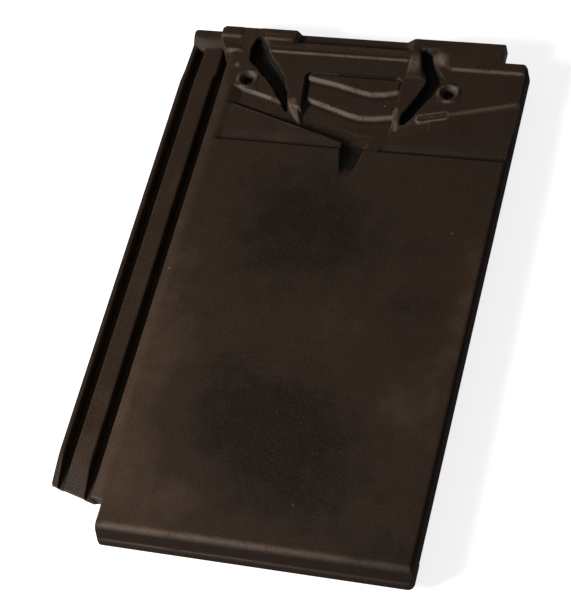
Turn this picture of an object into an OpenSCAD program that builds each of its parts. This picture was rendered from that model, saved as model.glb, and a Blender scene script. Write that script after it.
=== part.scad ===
// Flat interlocking clay roof tile, pressed and fired as one piece.
// Millimetres, +Z up, +Y towards the head, origin at the centre of the base.

/* [Overall] */
// Overall width with side lock and cover flap
tile_w = 286; // [266:1:326]
// Overall length from nose to head lugs
tile_l = 462; // [442:1:502]
// Height of the exposed field above the floor
field_h = 26; // [25:0.5:32]
// Thickness of the clay under the field
field_t = 13; // [11:0.5:14]
// Rounding of the long right arris
arris_r = 3.5; // [2:0.5:5]

/* [Side lock] */
// Height of the underside of the lock above the floor
lock_base = 1; // [0.5:0.5:3]
// Clay under the lock grooves
lock_t = 7.5; // [7:0.5:10]
// Height of the lock ribs above the groove floors
lock_rib_h = 6.5; // [5:0.5:7]
// Foot width of the outer rib
outer_rib_w = 5.5; // [4:0.5:8]
// Floor width of the outer groove
outer_groove_w = 5.2; // [5:0.1:8]
// Foot width of the broad inner rib
inner_rib_w = 18; // [14:0.5:20]
// Floor width of the inner groove
inner_groove_w = 8.8; // [8:0.1:12]
// Sideways lean of each lock flank
lock_draft = 0.8; // [0.4:0.1:1]
// Rounding of the rib tops
lock_r = 1; // [0.5:0.1:1]
// Distance from the nose to the lower end of the outer rib
lock_foot = 40.5; // [36:0.5:60]
// Slant of the lower end of the lock, in degrees
lock_skew = 14.5; // [0:0.5:25]
// Undercut of the lower end of the lock
lock_undercut = 5; // [2:0.5:8]
// Length over which the lock ribs run out at their lower end
lock_run = 26; // [10:1:40]
// Height of the lock ribs above the groove floors at their lower end
lock_end_h = 1.5; // [1:0.1:3]
// Undercut of the shoulder beside the lower end of the lock
shoulder_undercut = 14; // [4:0.5:15]
// Distance from the upper end of the lock to the head
lock_head = 1.5; // [1:0.5:6]
// Narrowing of the lock at the head
lock_taper = 2; // [0.5:0.5:3]
// Length of that narrowing
lock_taper_l = 80; // [40:5:120]
// Length of the dam that closes the grooves at the head
dam_l = 16; // [12:1:24]
// Height of the dam above the groove floors
dam_h = 11.5; // [8:0.5:13]
// Run of the sloped front of the dam
dam_run = 3.5; // [2:0.5:6]
// Width of the rolled shoulder beside the lock
shoulder_w = 10; // [6:1:14]
// Fall of the rolled shoulder
shoulder_drop = 3; // [2:0.5:5]

/* [Cover flap] */
// Open seam between the flap and the next field
seam = 2; // [1:0.5:4]
// Play between the lock and the flap that covers it
lock_play = 1.2; // [1:0.1:2]
// Width of the head corner left free of the flap
flap_notch_w = 21; // [16:1:30]
// Length of the head corner left free of the flap
flap_notch_l = 18; // [14:1:24]
// Rounding of the free corner of the flap
flap_corner_r = 5; // [2:0.5:7]

/* [Nose] */
// Distance from the left edge to the nose
nose_inset = 49; // [47:1:54]
// Height of the lower edge of the nose above the floor
nose_base = 8; // [6:0.5:10]
// Thickness of the nose lip
nose_t = 20; // [16:1:30]
// Height of the lower band of the front face
nose_band_h = 5.8; // [4:0.1:7]
// Step from the lower band to the upper facet
nose_step = 0.8; // [0.5:0.1:1.5]
// Backward lean of the front face, in degrees
nose_lean = 20; // [5:1:30]
// Rounding of the top arris
nose_r = 6; // [4:0.5:11]
// Rounding of the lower front arris
nose_low_r = 1.5; // [0.5:0.1:2.5]
// Rounding of the left corner in plan
nose_corner_l = 3; // [2:0.5:8]
// Rounding of the right corner in plan
nose_corner_r = 5.5; // [3:0.5:10]

/* [Head] */
// Distance from the head to the line where the next tile ends
head_l = 111.5; // [108:0.5:120]
// Step from the field to the head
head_step = 1; // [0.5:0.5:2]
// Drop from the field to the nail blocks and fins
block_drop = 1.5; // [1:0.5:2.5]
// Depth of gutter and tray below the field
gutter_d = 7; // [5:0.5:8]
// Depth of the gutter at its outer end and of the apron's upper edge below the field
gutter_end_d = 4; // [3:0.5:5]
// Depth of the diagonal channels below the field
channel_d = 9; // [8:0.5:9]
// Rise of the left lower gutter bank towards the side, in degrees
bank_left_a = 16.5; // [14:0.5:18]
// Rise of the right lower gutter bank towards the side, in degrees
bank_right_a = 19; // [15:0.5:22]
// Rise of the upper gutter bank towards the sides, in degrees
bank_high_a = 15.6; // [13:0.2:17]
// Distance from the step line to the lower gutter bank at the middle
bank_y = 3; // [1:0.5:5]
// Open length of the gutter at its middle
gutter_l = 20.5; // [17:0.5:24]
// Lean of the bank faces
bank_lean = 1.8; // [0.5:0.1:3]
// Mouth width of the drain
drain_w = 20; // [14:1:24]
// End width of the drain
drain_end_w = 11; // [8:1:13]
// Length of the drain in the field
drain_l = 25; // [18:1:32]
// Width of the tray between the fins
tray_w = 81; // [70:1:84]
// Narrowing of the tray at its left front
tray_taper = 6; // [0:0.5:8]
// Sideways shift of the tray from the middle of the field
tray_shift = 14.5; // [12:0.5:16]
// Distance from the head to the back of the tray
tray_back = 39.6; // [38:0.2:42]
// Rounding of the back corners of the tray
tray_r = 5; // [3:0.5:8]
// Rise of each chevron step in the tray
chevron_h = 2.4; // [1.5:0.1:2.6]
// Distance between the two chevron steps
chevron_pitch = 24; // [20:1:26]
// Distance from the step line to the tip of the lower chevron step
chevron_y = 31; // [28:0.5:34]
// Rise of the chevron arms towards the sides, in degrees
chevron_a = 15.5; // [12:0.5:18]
// Sideways shift of the chevron tips from the middle of the field
chevron_shift = 4.5; // [0:0.5:8]
// Length of the sloped tips of the fins
fin_l = 13; // [9:0.5:15]
// Width of the tip of the left fin
fin_left_w = 12; // [8:0.5:14]
// Width of the tip of the right fin
fin_right_w = 6; // [4:0.5:7]
// Front-to-back width of the head rib
head_rib_w = 10; // [8:0.5:11]
// Distance from the head to the front of the head rib
head_rib_y = 22.5; // [21:0.5:24]
// Drop from the field to the top of the head rib
head_rib_drop = 0.5; // [0.2:0.1:1]
// Run of the sloped front of the head rib
head_rib_run = 1.8; // [1:0.2:3]
// Width of the gusset at the right end of the head rib
gusset_w = 9; // [6:0.5:11]
// Depth of the rear ledge below the field
ledge_d = 6; // [4:0.5:8]
// Distance from the head to the front of the right shelf
shelf_y = 28; // [26:0.5:30]
// Distance from the middle of the field to the right shelf
shelf_x = 61; // [59:0.5:64]
// Run of the sloped front of the right shelf
shelf_run = 4; // [1:0.5:5]
// Outer edge of the left head lug from the middle of the tile
lug_out = 116; // [113:0.5:118]
// Width of the left head lug
lug_w = 19; // [15:0.5:21]
// Distance from the middle of the field to the middle head lug
lug_mid_x = 105; // [102:0.5:107]
// Width of the middle head lug
lug_mid_w = 36; // [28:0.5:38]
// Front-to-back width of the middle head lug
lug_mid_l = 12; // [10:0.5:13]
// Width of the rear ledge between the lugs
ledge_w = 97; // [90:1:100]
// Distance from the middle of the field to the raised pad
pad_x = 45; // [43:0.5:48]
// Distance from the step line to the raised pad
pad_y = 32.5; // [30:0.5:34]
// Length of the raised pad in front of the right nail block
pad_l = 25; // [18:0.5:28]
// Width of the raised pad
pad_w = 5.5; // [4:0.5:7]
// Height of the raised pad
pad_h = 1.6; // [1:0.1:2]
// Slant of the raised pad, in degrees
pad_a = 12; // [6:1:15]

/* [Nail holes] */
// Distance between the nail holes
nail_spacing = 167; // [160:1:174]
// Distance from the head to the nail holes
nail_y = 50.5; // [48:0.5:53]
// Bore of the nail holes
nail_d = 6; // [5:0.5:7]
// Mouth of the nail holes
nail_mouth_d = 10; // [8:0.5:11]
// Depth of the widened mouth
nail_mouth_h = 2.2; // [1.5:0.1:3]
// Foot width of the raised rim
nail_rim_d = 16; // [14:0.5:18]
// Width of the slope of the raised rim
nail_rim_slope = 2; // [1:0.1:2.5]
// Height of the raised rim
nail_rim_h = 1; // [0.5:0.1:1.5]

/* [Underside] */
// Height of the head's underside above the floor
head_under = 10; // [9:0.5:11]
// Run of the slopes at both ends of the thick head
head_under_run = 4; // [2:0.5:6]
// Width of each hanging nib
nib_w = 36; // [30:1:37]
// Thickness of each hanging nib
nib_t = 15; // [12:1:20]
// Slope of the upper side of the nibs
nib_slope = 5; // [2:0.5:8]
// Distance from the head to the nibs' bearing faces
nib_y = 35; // [32:1:38]
// Distance from the nose to the foot rib
foot_rib_y = 124; // [116:1:150]
// Foot width of the rib across the underside
foot_rib_w = 13; // [9:0.5:18]
// Slope of each side of the foot rib
foot_rib_slope = 2; // [1:0.5:3]

/* [Hidden] */
$fn = 48;
arc_steps = 6;
eps = 1;
far = 2 * tile_l;
clay = [0.24, 0.19, 0.16];

x_left = -tile_w / 2;
x_right = tile_w / 2;
y_foot = -tile_l / 2;
y_head = tile_l / 2;

// Stations across the side lock, at the groove floors
x_groove_a = x_left + outer_rib_w;
x_rib_in = x_groove_a + outer_groove_w;
x_groove_b = x_rib_in + inner_rib_w;
x_field = x_groove_b + inner_groove_w;
lock_w = x_field - x_left;
lock_floor = lock_base + lock_t;
lock_top = lock_floor + lock_rib_h;
lock_web = 9;
lock_end = lock_floor + lock_end_h;

// The flap repeats the lock of the next tile, one covering width further on
cover_w = tile_w - lock_w + seam;
flap_roof = lock_top + lock_play;
flap_low = lock_floor + lock_play;
x_flap_rib = x_groove_b + cover_w + lock_play;
x_hook_r = x_rib_in + cover_w - lock_play;
x_hook_l = x_groove_a + cover_w + lock_play;
x_flap_l = x_left + cover_w - lock_play;

under_h = field_h - field_t;
x_mid = (x_field + seam + x_right) / 2;
x_nose = x_left + nose_inset;
x_under_l = x_field + lock_web;

// Heights and stations of the head
y_step = y_head - head_l;
plain_h = field_h - head_step;
block_h = field_h - block_drop;
gutter_h = field_h - gutter_d;
apron_h = field_h - gutter_end_d;
channel_h = field_h - channel_d;
ledge_h = field_h - ledge_d;
head_rib_h = field_h - head_rib_drop;
y_bank_low = y_step + bank_y;
y_bank_high = y_bank_low + gutter_l;
y_rib_front = y_head - head_rib_y;
y_rib_back = y_rib_front + head_rib_w;
y_shelf = y_head - shelf_y;
y_flap = y_head - flap_notch_l;
x_notch = x_right - flap_notch_w;
x_lug_l = -lug_out;
y_nail = y_head - nail_y;
nail_shift = 1.5;
x_tray = x_mid - tray_shift;
x_tray_l = x_tray - tray_w / 2;
x_tray_r = x_tray + tray_w / 2;
y_tray_back = y_head - tray_back;
y_fin = y_bank_high - eps;
y_tray_front = y_bank_high - 2 * bank_lean;
x_tip = x_mid + chevron_shift;

// Places of the head lugs, from the middle of the field
x_lug_mid = x_mid - lug_mid_x;
x_ledge = x_lug_mid + lug_mid_w;
x_lug_right = x_ledge + ledge_w;
x_shelf = x_mid + shelf_x;

// The gutter deepens from its outer end, at full depth from the inner distance on
left_gutter = [40, 76, 104, 117];
right_gutter = [8, 52, 54, 58];

// Channel paths: distance from the middle of the field, distance to the head, width
left_channel = [[-102, 18, 13], [-98, 29, 17], [-82, 45, 15], [-71, 65, 10], [-63, 79, 5]];
right_channel = [[41, 16, 8], [46, 33, 9], [51, 42, 14], [46, 57, 14], [37, 76, 8]];

function arc(c, r, a0, a1) =
    [for (i = [0 : arc_steps]) let (a = a0 + (a1 - a0) * i / arc_steps) c + r * [cos(a), sin(a)]];

// A rib with leaning flanks and rounded top, from its left foot to its right foot
function rib_line(xl, xr, foot, top) = concat(
    [[xl, foot]],
    arc([xl + lock_draft + lock_r, top - lock_r], lock_r, 180, 90),
    arc([xr - lock_draft - lock_r, top - lock_r], lock_r, 90, 0),
    [[xr, foot]]);

// The corner b of an outline a, b, c rounded with radius r
function corner(a, b, c, r) =
    let (u = (a - b) / norm(a - b), v = (c - b) / norm(c - b))
    let (half = acos(u * v) / 2, m = (u + v) / norm(u + v))
    let (o = b + m * r / sin(half), s = b + u * r / tan(half), e = b + v * r / tan(half))
    let (a0 = atan2((s - o)[1], (s - o)[0]), turn = atan2((e - o)[1], (e - o)[0]) - a0)
    arc(o, r, a0, a0 + (turn > 180 ? turn - 360 : turn < -180 ? turn + 360 : turn));

function round_outline(p, r) =
    let (n = len(p))
    [for (i = [0 : n - 1]) each corner(p[(i + n - 1) % n], p[i], p[(i + 1) % n], r[i])];

// Point, heading and edge of a channel path at its node i
function at(path, i) = [x_mid + path[i][0], y_head - path[i][1]];
function heading(path, i) =
    let (d = at(path, min(i + 1, len(path) - 1)) - at(path, max(i - 1, 0)))
    atan2(d[1], d[0]);
function edge(path, i, turn) =
    let (a = heading(path, i) + turn)
    at(path, i) + path[i][2] / 2 * [cos(a), sin(a)];

// Outline of a channel with round ends that follows its path
function channel_outline(path) =
    let (n = len(path) - 1, a = heading(path, 0), b = heading(path, n))
    concat(
        arc(at(path, 0), path[0][2] / 2, a + 270, a + 90),
        [for (i = [1 : n - 1]) edge(path, i, 90)],
        arc(at(path, n), path[n][2] / 2, b + 90, b - 90),
        [for (i = [n - 1 : -1 : 1]) edge(path, i, -90)]);

// Cross-section of the whole tile, seen from the nose
module section() {
    lean = lock_draft;
    roll_r = (shoulder_w * shoulder_w + shoulder_drop * shoulder_drop) / (2 * shoulder_drop);
    roll_a = asin(shoulder_w / roll_r);
    roll_x = x_field + lean + shoulder_w;
    outer = concat(
        [[x_left, lock_base]],
        arc([x_left + lock_r, lock_top - lock_r], lock_r, 180, 90),
        arc([x_groove_a - lean - lock_r, lock_top - lock_r], lock_r, 90, 0),
        [[x_groove_a, lock_floor]]);
    inner = rib_line(x_rib_in, x_groove_b, lock_floor, lock_top);
    field = concat(
        [[x_field, lock_floor]],
        arc([roll_x, field_h - roll_r], roll_r, 90 + roll_a, 90),
        arc([x_right - arris_r, field_h - arris_r], arris_r, 90, 0));
    flap = [
        [x_right, flap_low], [x_flap_rib + lean, flap_low],
        [x_flap_rib, flap_roof], [x_hook_r, flap_roof],
        [x_hook_r - lean / 2, flap_low], [x_hook_l + lean / 2, flap_low],
        [x_hook_l, flap_roof], [x_flap_l, flap_roof], [x_flap_l - lean, under_h]];
    under = [[x_under_l + 2 * lean, under_h], [x_under_l, lock_base]];
    polygon(concat(outer, inner, field, flap, under));
}

// Long profile that shapes the front of the nose: lip, band, facet and rounded brow
module long_profile() {
    slope = tan(nose_lean);
    band_top = nose_base + nose_band_h;
    y_band = y_foot + nose_band_h * slope;
    y_facet = y_band + nose_step;
    brow_low = field_h - nose_r + nose_r * sin(nose_lean);
    y_brow = y_facet + (brow_low - band_top) * slope + nose_r * cos(nose_lean);
    front = concat(
        [[y_foot + nose_low_r, -eps]],
        arc([y_foot + nose_low_r, nose_base + nose_low_r], nose_low_r, 270, 180),
        [[y_band, band_top], [y_facet, band_top + nose_step * slope]]);
    brow = arc([y_brow, field_h - nose_r], nose_r, 180 - nose_lean, 90);
    back = [[y_head + eps, field_h], [y_head + eps, -eps]];
    polygon(concat(front, brow, back));
}

// Outline in plan: slanted lock end, nose, free flap corner and lock head
module outline() {
    y_lock_foot = y_foot + lock_foot;
    y_lock_nose = y_lock_foot - nose_inset * tan(lock_skew);
    y_lock_head = y_head - lock_head;
    small = lock_head / 3;
    points = [
        [x_nose, y_foot], [x_right, y_foot], [x_right, y_flap], [x_notch, y_flap],
        [x_notch, y_head], [x_lug_l, y_head], [x_lug_l, y_lock_head],
        [x_left + lock_taper, y_lock_head], [x_left, y_lock_head - lock_taper_l],
        [x_left, y_lock_foot], [x_nose, y_lock_nose]];
    radii = [
        nose_corner_l, nose_corner_r, flap_corner_r, 2 * lock_r, 2 * lock_r, 2 * small,
        small, 3 * lock_r, 3 * lock_r, 3 * lock_r, 2 * lock_r];
    polygon(round_outline(points, radii));
}

// A shape drawn in the X-Z plane, drawn out along Y
module along_y(y0, y1) {
    translate([0, y1, 0]) rotate([90, 0, 0]) linear_extrude(y1 - y0) children();
}

// A shape drawn in the Y-Z plane, drawn out along X
module along_x(x0, x1) {
    translate([x0, 0, 0]) rotate([90, 0, 90]) linear_extrude(x1 - x0) children();
}

module box(x0, x1, y0, y1, z0, z1) {
    translate([x0, y0, z0]) cube([x1 - x0, y1 - y0, z1 - z0]);
}

// Block with a sloped front, from the foot line y0 to the top front y1 and back to y2
module sloped_block(x0, x1, y0, y1, y2, z0, z1) {
    along_x(x0, x1) polygon([[y0, z0], [y1, z1], [y2, z1], [y2, z0]]);
}

// A ridge with leaning sides and round ends between two points in plan
module ridge(a, b, foot_w, foot_h, top_h, lean) {
    run = b - a;
    rise = top_h - foot_h;
    translate([a[0], a[1], foot_h]) rotate(atan2(run[1], run[0])) {
        along_x(0, norm(run)) polygon([
            [-foot_w / 2, 0], [foot_w / 2, 0],
            [foot_w / 2 - lean, rise], [-foot_w / 2 + lean, rise]]);
        for (x = [0, norm(run)]) translate([x, 0, 0])
            cylinder(h = rise, r1 = foot_w / 2, r2 = foot_w / 2 - lean);
    }
}

// One arm of the gutter: behind the lower bank and in front of the upper bank
module gutter_arm(low_a, reach) {
    depth = gutter_d + eps;
    lean = bank_lean * depth / gutter_d;
    intersection() {
        translate([0, y_bank_low, gutter_h]) rotate(low_a)
            along_x(-far, far) polygon([[lean, 0], [0, depth], [far, depth], [far, 0]]);
        in_front_of_blocks();
        along_y(y_step - drain_l, y_head) polygon([
            [-eps, gutter_h], [reach[0], gutter_h], [reach[1], apron_h], [reach[2], apron_h],
            [reach[3], field_h + eps], [-eps, field_h + eps]]);
    }
}

// The space in front of the upper bank, drawn for the arm on the right
module in_front_of_blocks() {
    depth = gutter_d + eps;
    lean = bank_lean * depth / gutter_d;
    translate([0, y_bank_high, gutter_h]) rotate(bank_high_a)
        along_x(-far, far) polygon([[-lean, 0], [0, depth], [-far, depth], [-far, 0]]);
}

// The right side of the head, which falls from the step line to the upper bank
module apron() {
    run = gutter_l + (x_right - x_mid) * tan(bank_high_a);
    intersection() {
        in_front_of_blocks();
        along_x(0, x_right - x_mid + eps) polygon([
            [y_step, plain_h], [y_step + run, apron_h], [y_step + run, field_h + eps],
            [y_step, field_h + eps]]);
    }
}

// Drain that runs out into the field
module drain() {
    intersection() {
        translate([0, y_step, gutter_h]) linear_extrude(gutter_d + eps) polygon([
            [-drain_w / 2, bank_y + 2 * bank_lean], [drain_w / 2, bank_y + 2 * bank_lean],
            [drain_end_w / 2, -drain_l], [-drain_end_w / 2, -drain_l]]);
        along_x(-drain_w, drain_w) polygon([
            [y_step - drain_l, field_h], [y_step - drain_l / 2, apron_h],
            [y_step, gutter_h], [y_bank_high, gutter_h], [y_bank_high, field_h + eps],
            [y_step - drain_l, field_h + eps]]);
    }
}

// Everything taken off the flat top in front of the nail blocks
module gutter() {
    translate([x_mid, 0, 0]) {
        gutter_arm(bank_right_a, right_gutter);
        mirror([1, 0, 0]) gutter_arm(bank_left_a, left_gutter);
        apron();
        drain();
    }
}

// The part of the head behind the upper bank, lowered to the nail blocks
module block_cut() {
    translate([x_mid, 0, 0]) for (side = [0, 1]) mirror([side, 0, 0]) intersection() {
        translate([0, y_bank_high - bank_lean, block_h]) rotate(bank_high_a)
            along_x(-far, far) polygon([[0, 0], [far, 0], [far, far], [0, far]]);
        box(0, far, y_step, y_head + eps, block_h, field_h + eps);
    }
}

// Tray between the fins, open to the gutter in front
module tray_cut() {
    translate([0, 0, gutter_h]) linear_extrude(gutter_d + eps) polygon(round_outline(
        [[x_tray_l + tray_taper, y_tray_front], [x_tray_r, y_tray_front],
        [x_tray_r, y_tray_back], [x_tray_l, y_tray_back]],
        [eps, eps, tray_r, tray_r]));
}

// Two chevron steps across the floor of the tray, the second one behind the first
module chevron_steps() {
    for (row = [0, 1]) intersection() {
        rise = (row + 1) * chevron_h + eps;
        for_both_arms(row) polygon([[0, 0], [rise, rise], [far, rise], [far, 0]]);
        box(x_tray_l - eps, x_tray_r + eps, y_step, y_tray_back + eps, 0, field_h);
    }
}

// The space behind both arms of a chevron, with the given profile as its front
module for_both_arms(row) {
    y_tip = y_step + chevron_y + row * (chevron_pitch - chevron_h);
    intersection_for (side = [-1, 1]) translate([x_tip, y_tip - eps, gutter_h - eps])
        rotate(side * chevron_a) along_x(-far, far) children();
}

// Sloped tips in which the two fins beside the tray end
module fin_tips() {
    y_top = y_fin + fin_l;
    x_left_fin = x_tray_l + tray_taper;
    sloped_block(x_left_fin - fin_left_w, x_left_fin, y_fin, y_top, y_top + fin_l, gutter_h - eps, block_h);
    sloped_block(x_tray_r - eps, x_tray_r + fin_right_w, y_fin, y_top, y_top + fin_l, gutter_h - eps, block_h);
}

// Lugs, rear rim, head rib and right shelf, which rise to the level of the field
module head_raised() {
    foot = block_h - eps;
    y_brow = y_head - lug_mid_l;
    box(x_lug_l, x_field + eps, y_rib_front - eps, y_head, lock_floor - eps, foot + eps / 2);
    sloped_block(x_lug_l, x_lug_l + lug_w, y_rib_front - eps, y_brow, y_head, foot, field_h);
    sloped_block(x_lug_l, x_lug_mid + eps, y_rib_front, y_brow + lug_mid_l / 3, y_head, foot, field_h);
    along_y(y_brow, y_head) polygon([
        [x_lug_mid, ledge_h - eps], [x_lug_mid, field_h], [x_ledge - ledge_d / 2, field_h],
        [x_ledge, ledge_h], [x_ledge, ledge_h - eps]]);
    y_rib_top = y_rib_front + head_rib_run;
    sloped_block(x_lug_mid + lug_mid_l, x_lug_right, y_rib_front, y_rib_top, y_rib_back,
        ledge_h - eps, head_rib_h);
    sloped_block(x_lug_right - head_rib_run, x_lug_right - head_rib_run + gusset_w, y_tray_back,
        y_tray_back + head_rib_run, y_rib_back, foot, head_rib_h);
    sloped_block(x_shelf, x_right, y_shelf - shelf_run, y_shelf, y_flap, foot, field_h);
    translate([0, 0, ledge_h - eps]) linear_extrude(ledge_d + eps) polygon([
        [x_lug_right, y_head], [x_lug_right + head_rib_run, y_rib_back], [x_shelf - lug_mid_l, y_rib_back],
        [x_shelf, y_shelf], [x_notch, y_shelf], [x_notch, y_head]]);
}

// Raised pad in front of the right nail block
module pad() {
    a = [x_mid + pad_x, y_step + pad_y];
    ridge(a, a + pad_l * [cos(pad_a), sin(pad_a)], pad_w, apron_h - eps, apron_h + pad_h, pad_h / 2);
}

module nail_rims() {
    for (side = [-1, 1]) translate([nail_shift + side * nail_spacing / 2, y_nail, block_h - eps])
        cylinder(h = nail_rim_h + eps, d1 = nail_rim_d, d2 = nail_rim_d - 2 * nail_rim_slope);
}

module nail_bores() {
    rim_h = block_h + nail_rim_h;
    for (side = [-1, 1]) translate([nail_shift + side * nail_spacing / 2, y_nail, 0]) {
        translate([0, 0, -eps]) cylinder(h = field_h + 2 * eps, d = nail_d);
        translate([0, 0, rim_h - nail_mouth_h])
            cylinder(h = nail_mouth_h + eps / 100, d1 = nail_d, d2 = nail_mouth_d);
    }
}

module channels() {
    for (path = [left_channel, right_channel])
        translate([0, 0, channel_h]) linear_extrude(channel_d + eps) polygon(channel_outline(path));
}

// What hangs below: nose lip, foot rib, thick head and nibs
module underside() {
    intersection() {
        box(x_nose, x_right, y_foot, y_foot + nose_t, nose_base, field_h - nose_r);
        along_x(x_left, x_right) long_profile();
        linear_extrude(field_h) outline();
    }
    y_rib = y_foot + foot_rib_y;
    along_x(x_under_l, x_flap_l - eps) polygon([
        [y_rib, under_h + eps], [y_rib + foot_rib_slope, 0], [y_rib + foot_rib_w - foot_rib_slope, 0],
        [y_rib + foot_rib_w, under_h + eps]]);
    along_x(x_under_l, x_flap_l - lock_draft) polygon([
        [y_step - 2 * head_under_run, under_h + eps], [y_step - head_under_run, head_under],
        [y_head - head_under_run, head_under], [y_head, under_h], [y_head, under_h + eps]]);
    y_nib = y_head - nib_y;
    for (side = [-1, 1]) translate([nail_shift + side * nail_spacing / 2, 0, 0])
        along_x(-nib_w / 2, nib_w / 2) polygon([
            [y_nib, head_under + eps], [y_nib, 0], [y_nib + nib_t - nib_slope, 0],
            [y_nib + nib_t, head_under + eps]]);
}

// Dam that closes the lock at the head
module lock_dam() {
    y0 = y_head - lock_head - dam_l;
    sloped_block(x_groove_a - 2 * lock_r, x_lug_l + eps, y0, y0 + dam_run, y_head - lock_head,
        lock_floor - eps, lock_floor + dam_h);
}

// The lower end of the lock: the ribs run out, and lock and shoulder lean back under themselves
module lock_end_cut() {
    y_end = y_foot + lock_foot;
    shoulder_h = field_h - shoulder_drop;
    intersection() {
        translate([x_left, y_end, 0]) rotate(-lock_skew) along_x(-far, far) polygon([
            [-far, -eps], [lock_undercut, -eps], [0, lock_end], [lock_run, lock_top],
            [lock_run, lock_top + eps], [-far, lock_top + eps]]);
        box(x_left - eps, x_field, y_foot, y_head, -eps, lock_top + eps);
    }
    intersection() {
        translate([x_left, y_end, 0]) rotate(-lock_skew) along_x(-far, far) polygon([
            [-far, -eps], [shoulder_undercut, -eps], [0, shoulder_h], [-far, shoulder_h]]);
        box(x_field, x_nose, y_foot, y_head, -eps, shoulder_h);
    }
}

// The pressed blank: section and outline, with the head lowered and its gutter cut
module blank() {
    difference() {
        intersection() {
            along_y(y_foot - eps, y_head + eps) section();
            along_x(x_left - eps, x_right + eps) long_profile();
            translate([0, 0, -eps]) linear_extrude(field_h + 2 * eps) outline();
        }
        box(x_field, x_right + eps, y_step, y_head + eps, plain_h, field_h + eps);
        gutter();
        block_cut();
        box(x_ledge - eps, x_lug_right + eps, y_rib_back - eps, y_head + eps, ledge_h, field_h + eps);
        lock_end_cut();
    }
}

module roof_tile() {
    color(clay) difference() {
        union() {
            difference() {
                union() {
                    blank();
                    fin_tips();
                }
                tray_cut();
            }
            underside();
            intersection() {
                union() {
                    head_raised();
                    lock_dam();
                }
                linear_extrude(field_h) outline();
            }
            chevron_steps();
            pad();
            nail_rims();
        }
        channels();
        nail_bores();
    }
}

roof_tile();
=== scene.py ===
"""Clay roof tile: the pressed and fired skin, its engobe finish and a plain studio stage."""

import math

import bpy
import numpy as np
from mathutils import Matrix, Vector


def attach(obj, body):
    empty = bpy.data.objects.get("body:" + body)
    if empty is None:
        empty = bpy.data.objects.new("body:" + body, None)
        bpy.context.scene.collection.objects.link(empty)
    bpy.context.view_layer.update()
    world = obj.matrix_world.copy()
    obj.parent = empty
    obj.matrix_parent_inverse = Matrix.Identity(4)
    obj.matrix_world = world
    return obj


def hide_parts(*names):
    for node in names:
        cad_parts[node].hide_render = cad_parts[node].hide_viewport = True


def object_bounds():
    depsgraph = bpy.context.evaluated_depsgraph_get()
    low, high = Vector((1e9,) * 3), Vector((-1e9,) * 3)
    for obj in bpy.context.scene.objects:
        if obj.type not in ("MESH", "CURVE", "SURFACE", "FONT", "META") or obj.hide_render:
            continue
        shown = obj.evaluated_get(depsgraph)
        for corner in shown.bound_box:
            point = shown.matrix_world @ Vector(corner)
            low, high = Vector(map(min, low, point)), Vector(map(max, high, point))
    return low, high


bl_info = {
    "name": "Clay roof tile",
    "version": (1, 0, 0),
    "blender": (4, 5, 0),
    "location": "3D View > Sidebar > Roof tile",
    "description": "Pressed clay roof tile with a satin engobe, on a studio stage",
    "category": "Add Mesh",
}

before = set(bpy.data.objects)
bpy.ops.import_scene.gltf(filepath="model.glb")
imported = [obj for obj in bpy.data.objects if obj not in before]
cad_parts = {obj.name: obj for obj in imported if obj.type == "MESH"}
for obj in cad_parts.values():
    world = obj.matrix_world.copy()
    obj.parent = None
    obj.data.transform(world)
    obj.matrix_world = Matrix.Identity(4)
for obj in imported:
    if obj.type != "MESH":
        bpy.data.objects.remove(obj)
CAD_LOW, CAD_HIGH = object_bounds()

# All the sizes of the tile are millimetres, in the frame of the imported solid.
MM = 0.001
X_LEFT, Y_FOOT = round(CAD_LOW.x / MM, 3), round(CAD_LOW.y / MM, 3)
X_RIGHT, Y_HEAD = round(CAD_HIGH.x / MM, 3), round(CAD_HIGH.y / MM, 3)
FIELD_H = round(CAD_HIGH.z / MM, 3)

# Side lock
LOCK_BASE, LOCK_FLOOR, LOCK_TOP, LOCK_END = 1.0, 8.5, 15.0, 10.0
LOCK_LEAN, LOCK_RUN, LOCK_SETBACK = 0.8, 26.0, 4.1
X_GROOVE_A, X_RIB_IN, X_GROOVE_B, X_FIELD = -137.5, -132.3, -114.3, -105.5
RIB_EDGE_R, RIB_LEFT_R, RIB_RIGHT_R = 0.5, 0.9, 2.2
RIB_WIDEN, Y_WIDEN, WIDEN_RUN = 1.8, 172.0, 14.0
ROLL_FLAT, ROLL_BEND, ROLL_SLOPE = 6.0, 7.5, 0.325
LOCK_ANGLE = math.radians(14.5)
LOCK_SKEW = math.tan(LOCK_ANGLE)
TAPER, Y_TAPER = 2.0, 149.5
ARRIS_R = 3.5

# Outline; each corner has its place, its radius and the sides that it turns to across and along
X_NOSE, X_LUG, X_NOTCH = -94.0, -116.0, 122.0
LOCK_SHORT = 40.5
Y_LOCK_NOSE = Y_FOOT + LOCK_SHORT - (X_NOSE - X_LEFT) * LOCK_SKEW
Y_LOCK_HEAD, Y_FLAP = Y_HEAD - 1.5, Y_HEAD - 18.0
Y_SHEAR = -150.0
CORNERS = (
    (X_NOSE, Y_FOOT, 3.0, -1, -1), (X_RIGHT, Y_FOOT, 5.5, 1, -1), (X_RIGHT, Y_FLAP, 5.0, 1, 1),
    (X_NOTCH, Y_HEAD, 2.0, 1, 1), (X_LUG, Y_HEAD, 1.0, -1, 1), (X_LEFT, Y_LOCK_HEAD, 3.0, -1, 1),
    (X_LEFT, Y_LOCK_NOSE, 3.0, -1, -1),
)

# Nose; its painted highlight lines are share, distance from the foot and half width
NOSE_BASE, NOSE_BAND, NOSE_STEP, NOSE_R, NOSE_LOW_R = 8.0, 5.8, 0.8, 6.0, 1.5
NOSE_LEAN = math.radians(20.0)
NOSE_HIGHLIGHTS = ((0.6, 9.8, 4.6), (0.38, 2.6, 1.3))

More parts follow.
